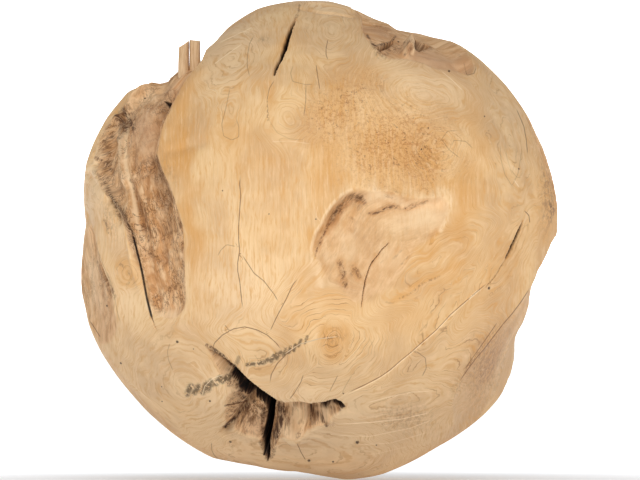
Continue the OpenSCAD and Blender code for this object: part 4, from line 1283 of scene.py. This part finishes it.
# Hairlines are drawn where the signed distance to one passes nought
width = 0.2 + cloud(mm, 0.3, 2.0) * 0.5
broad = (Wire.field("lineNear") - 1.0).most(0.0)
crossing = (abs(Wire.field("line")) / (width + broad * 1.1)).between(1.5, 0.35)
hairline = crossing * Wire.field("lineNear").between(0.05, 0.75)
shade = blend(broad * 1.4, wood["hairline"], wood["crack"])
colour = blend(hairline * (broad * 0.2 + 0.8), colour, shade)

# Pale scratches, and the painted highlight along the ledge
crossing = (abs(Wire.field("scratch")) / width).between(1.5, 0.35)
colour = blend(crossing * Wire.field("scratchNear").between(0.05, 0.9) * 0.6, colour, wood["scratch"])

# Painted shade: caves and deep cracks are painted dark at their mouth and black further in
shade = blend(fibre.between(0.4, 0.62), wood["dark"], wood["caveFibre"])
colour = blend(deep.between(0.08, 0.75), colour, shade)
colour = blend(deep.between(0.5, 1.0) * fibre.between(0.68, 0.48), colour, wood["black"])

rise = streak * -0.12 + drawn * -0.15 + grit * 0.1 + (fibre * 0.9 - squiggle * 0.4) * torn * ragged
bump = Wire.make("ShaderNodeBump", {}, {"Strength": ball["bump"], "Distance": 0.0012, "Height": rise})
sheen = 0.62 + torn * 0.25 + (hair - 0.5) * 0.1
Wire.tree.links.new(colour.socket, shader.inputs["Base Color"])
Wire.tree.links.new(bump.socket, shader.inputs["Normal"])
Wire.tree.links.new(sheen.socket, shader.inputs["Roughness"])
shader.inputs["Specular IOR Level"].default_value = 0.28
piece.data.materials.append(material)
print("root wood painted")

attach(piece, "root")
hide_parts("ball")

# Studio: pale floor, a low white wall all round far away, one big soft light from the upper left
studio = {
    "surround": 0.37,
    "key": 1.33,
    "keyAngle": 35.0,
    "keyFrom": (0.0, -1.0, 0.62),
    "fill": 0.22,
    "fillAngle": 90.0,
    "fillFrom": (0.8, -0.8, 0.2),
    "lens": 800.0,                          # millimetres, from far away as the photo's
    "floor": 22.0,                          # metres from the middle to its edge
    "floorColour": (0.76, 0.78, 0.82, 1),
    "floorGlow": (0.26, 0.75),              # under the ball, and further out
    "wall": 21.0,                           # metres to the wall, and half its height
    "wallHalf": 1.2,
    "wallSides": 48,
    "wallColour": (0.8, 0.8, 0.8, 1),
}


def glowingPaper(name, colour, middleGlow, outerGlow):
    # Plain paper that glows a little, at the middle and from half a metre outwards
    paper = bpy.data.materials.new(name)
    paper.use_nodes = True
    Wire.tree = paper.node_tree
    plain = paper.node_tree.nodes["Principled BSDF"]
    plain.inputs["Base Color"].default_value = colour
    plain.inputs["Roughness"].default_value = 0.9
    plain.inputs["Emission Strength"].default_value = 1
    spot = Wire.make("ShaderNodeTexCoord", {}, {}, 3)
    out = Wire.make("ShaderNodeVectorMath", {"operation": "LENGTH"}, {0: spot}, 1)
    glow = out.between(0.16, 0.5, middleGlow, outerGlow)
    shown = blend(glow, (0, 0, 0, 1), (1, 1, 1, 1))
    Wire.tree.links.new(shown.socket, plain.inputs["Emission Color"])
    return paper


def stageMesh(name, points, faces, paper):
    data = bpy.data.meshes.new(name)
    data.from_pydata(points, [], faces)
    data.materials.append(paper)
    thing = bpy.data.objects.new(name, data)
    bpy.context.scene.collection.objects.link(thing)


floorLevel = cadLow[2] - 0.001
e = studio["floor"]
stageMesh("floor", [(-e, -e, floorLevel), (e, -e, floorLevel), (e, e, floorLevel), (-e, e, floorLevel)],
          [(0, 1, 2, 3)], glowingPaper("floor", studio["floorColour"], *studio["floorGlow"]))
sides = studio["wallSides"]
turns = [2 * math.pi * k / sides for k in range(sides)]
heights = (-studio["wallHalf"], studio["wallHalf"])
wall = [(studio["wall"] * math.cos(t), studio["wall"] * math.sin(t), z) for z in heights for t in turns]
stageMesh("wall", wall, [(k, (k + 1) % sides, sides + (k + 1) % sides, sides + k) for k in range(sides)],
          glowingPaper("wall", studio["wallColour"], 1.0, 1.0))
print("floor and wall set")

world = bpy.data.worlds.new("studio")
world.use_nodes = True
world.node_tree.nodes["Background"].inputs["Color"].default_value = (1, 1, 1, 1)
world.node_tree.nodes["Background"].inputs["Strength"].default_value = studio["surround"]
bpy.context.scene.world = world
bpy.context.scene.view_settings.view_transform = "Standard"


def softLight(name, comesFrom, power, angle):
    lamp = bpy.data.lights.new(name, "SUN")
    lamp.energy = power
    lamp.angle = math.radians(angle)
    thing = bpy.data.objects.new(name, lamp)
    bpy.context.scene.collection.objects.link(thing)
    thing.location = comesFrom
    thing.rotation_mode = "QUATERNION"
    thing.rotation_quaternion = thing.location.to_track_quat("Z", "Y")


softLight("key", studio["keyFrom"], studio["key"], studio["keyAngle"])
softLight("fill", studio["fillFrom"], studio["fill"], studio["fillAngle"])

camera = bpy.data.objects.new("camera", bpy.data.cameras.new("camera"))
bpy.context.scene.collection.objects.link(camera)
bpy.context.scene.camera = camera
camera.data.sensor_width = 36
camera.data.lens = studio["lens"]
# The camera stands where the ball's radius fills as much of the picture as in the front view
slant = math.atan(viewRadius / viewMiddle[0] * camera.data.sensor_width / 2 / camera.data.lens)
camera.location = (0, -ball["radius"] / 1000 / math.sin(slant), 0)
camera.rotation_euler = (math.pi / 2, 0, 0)
camera.data.clip_end = 100
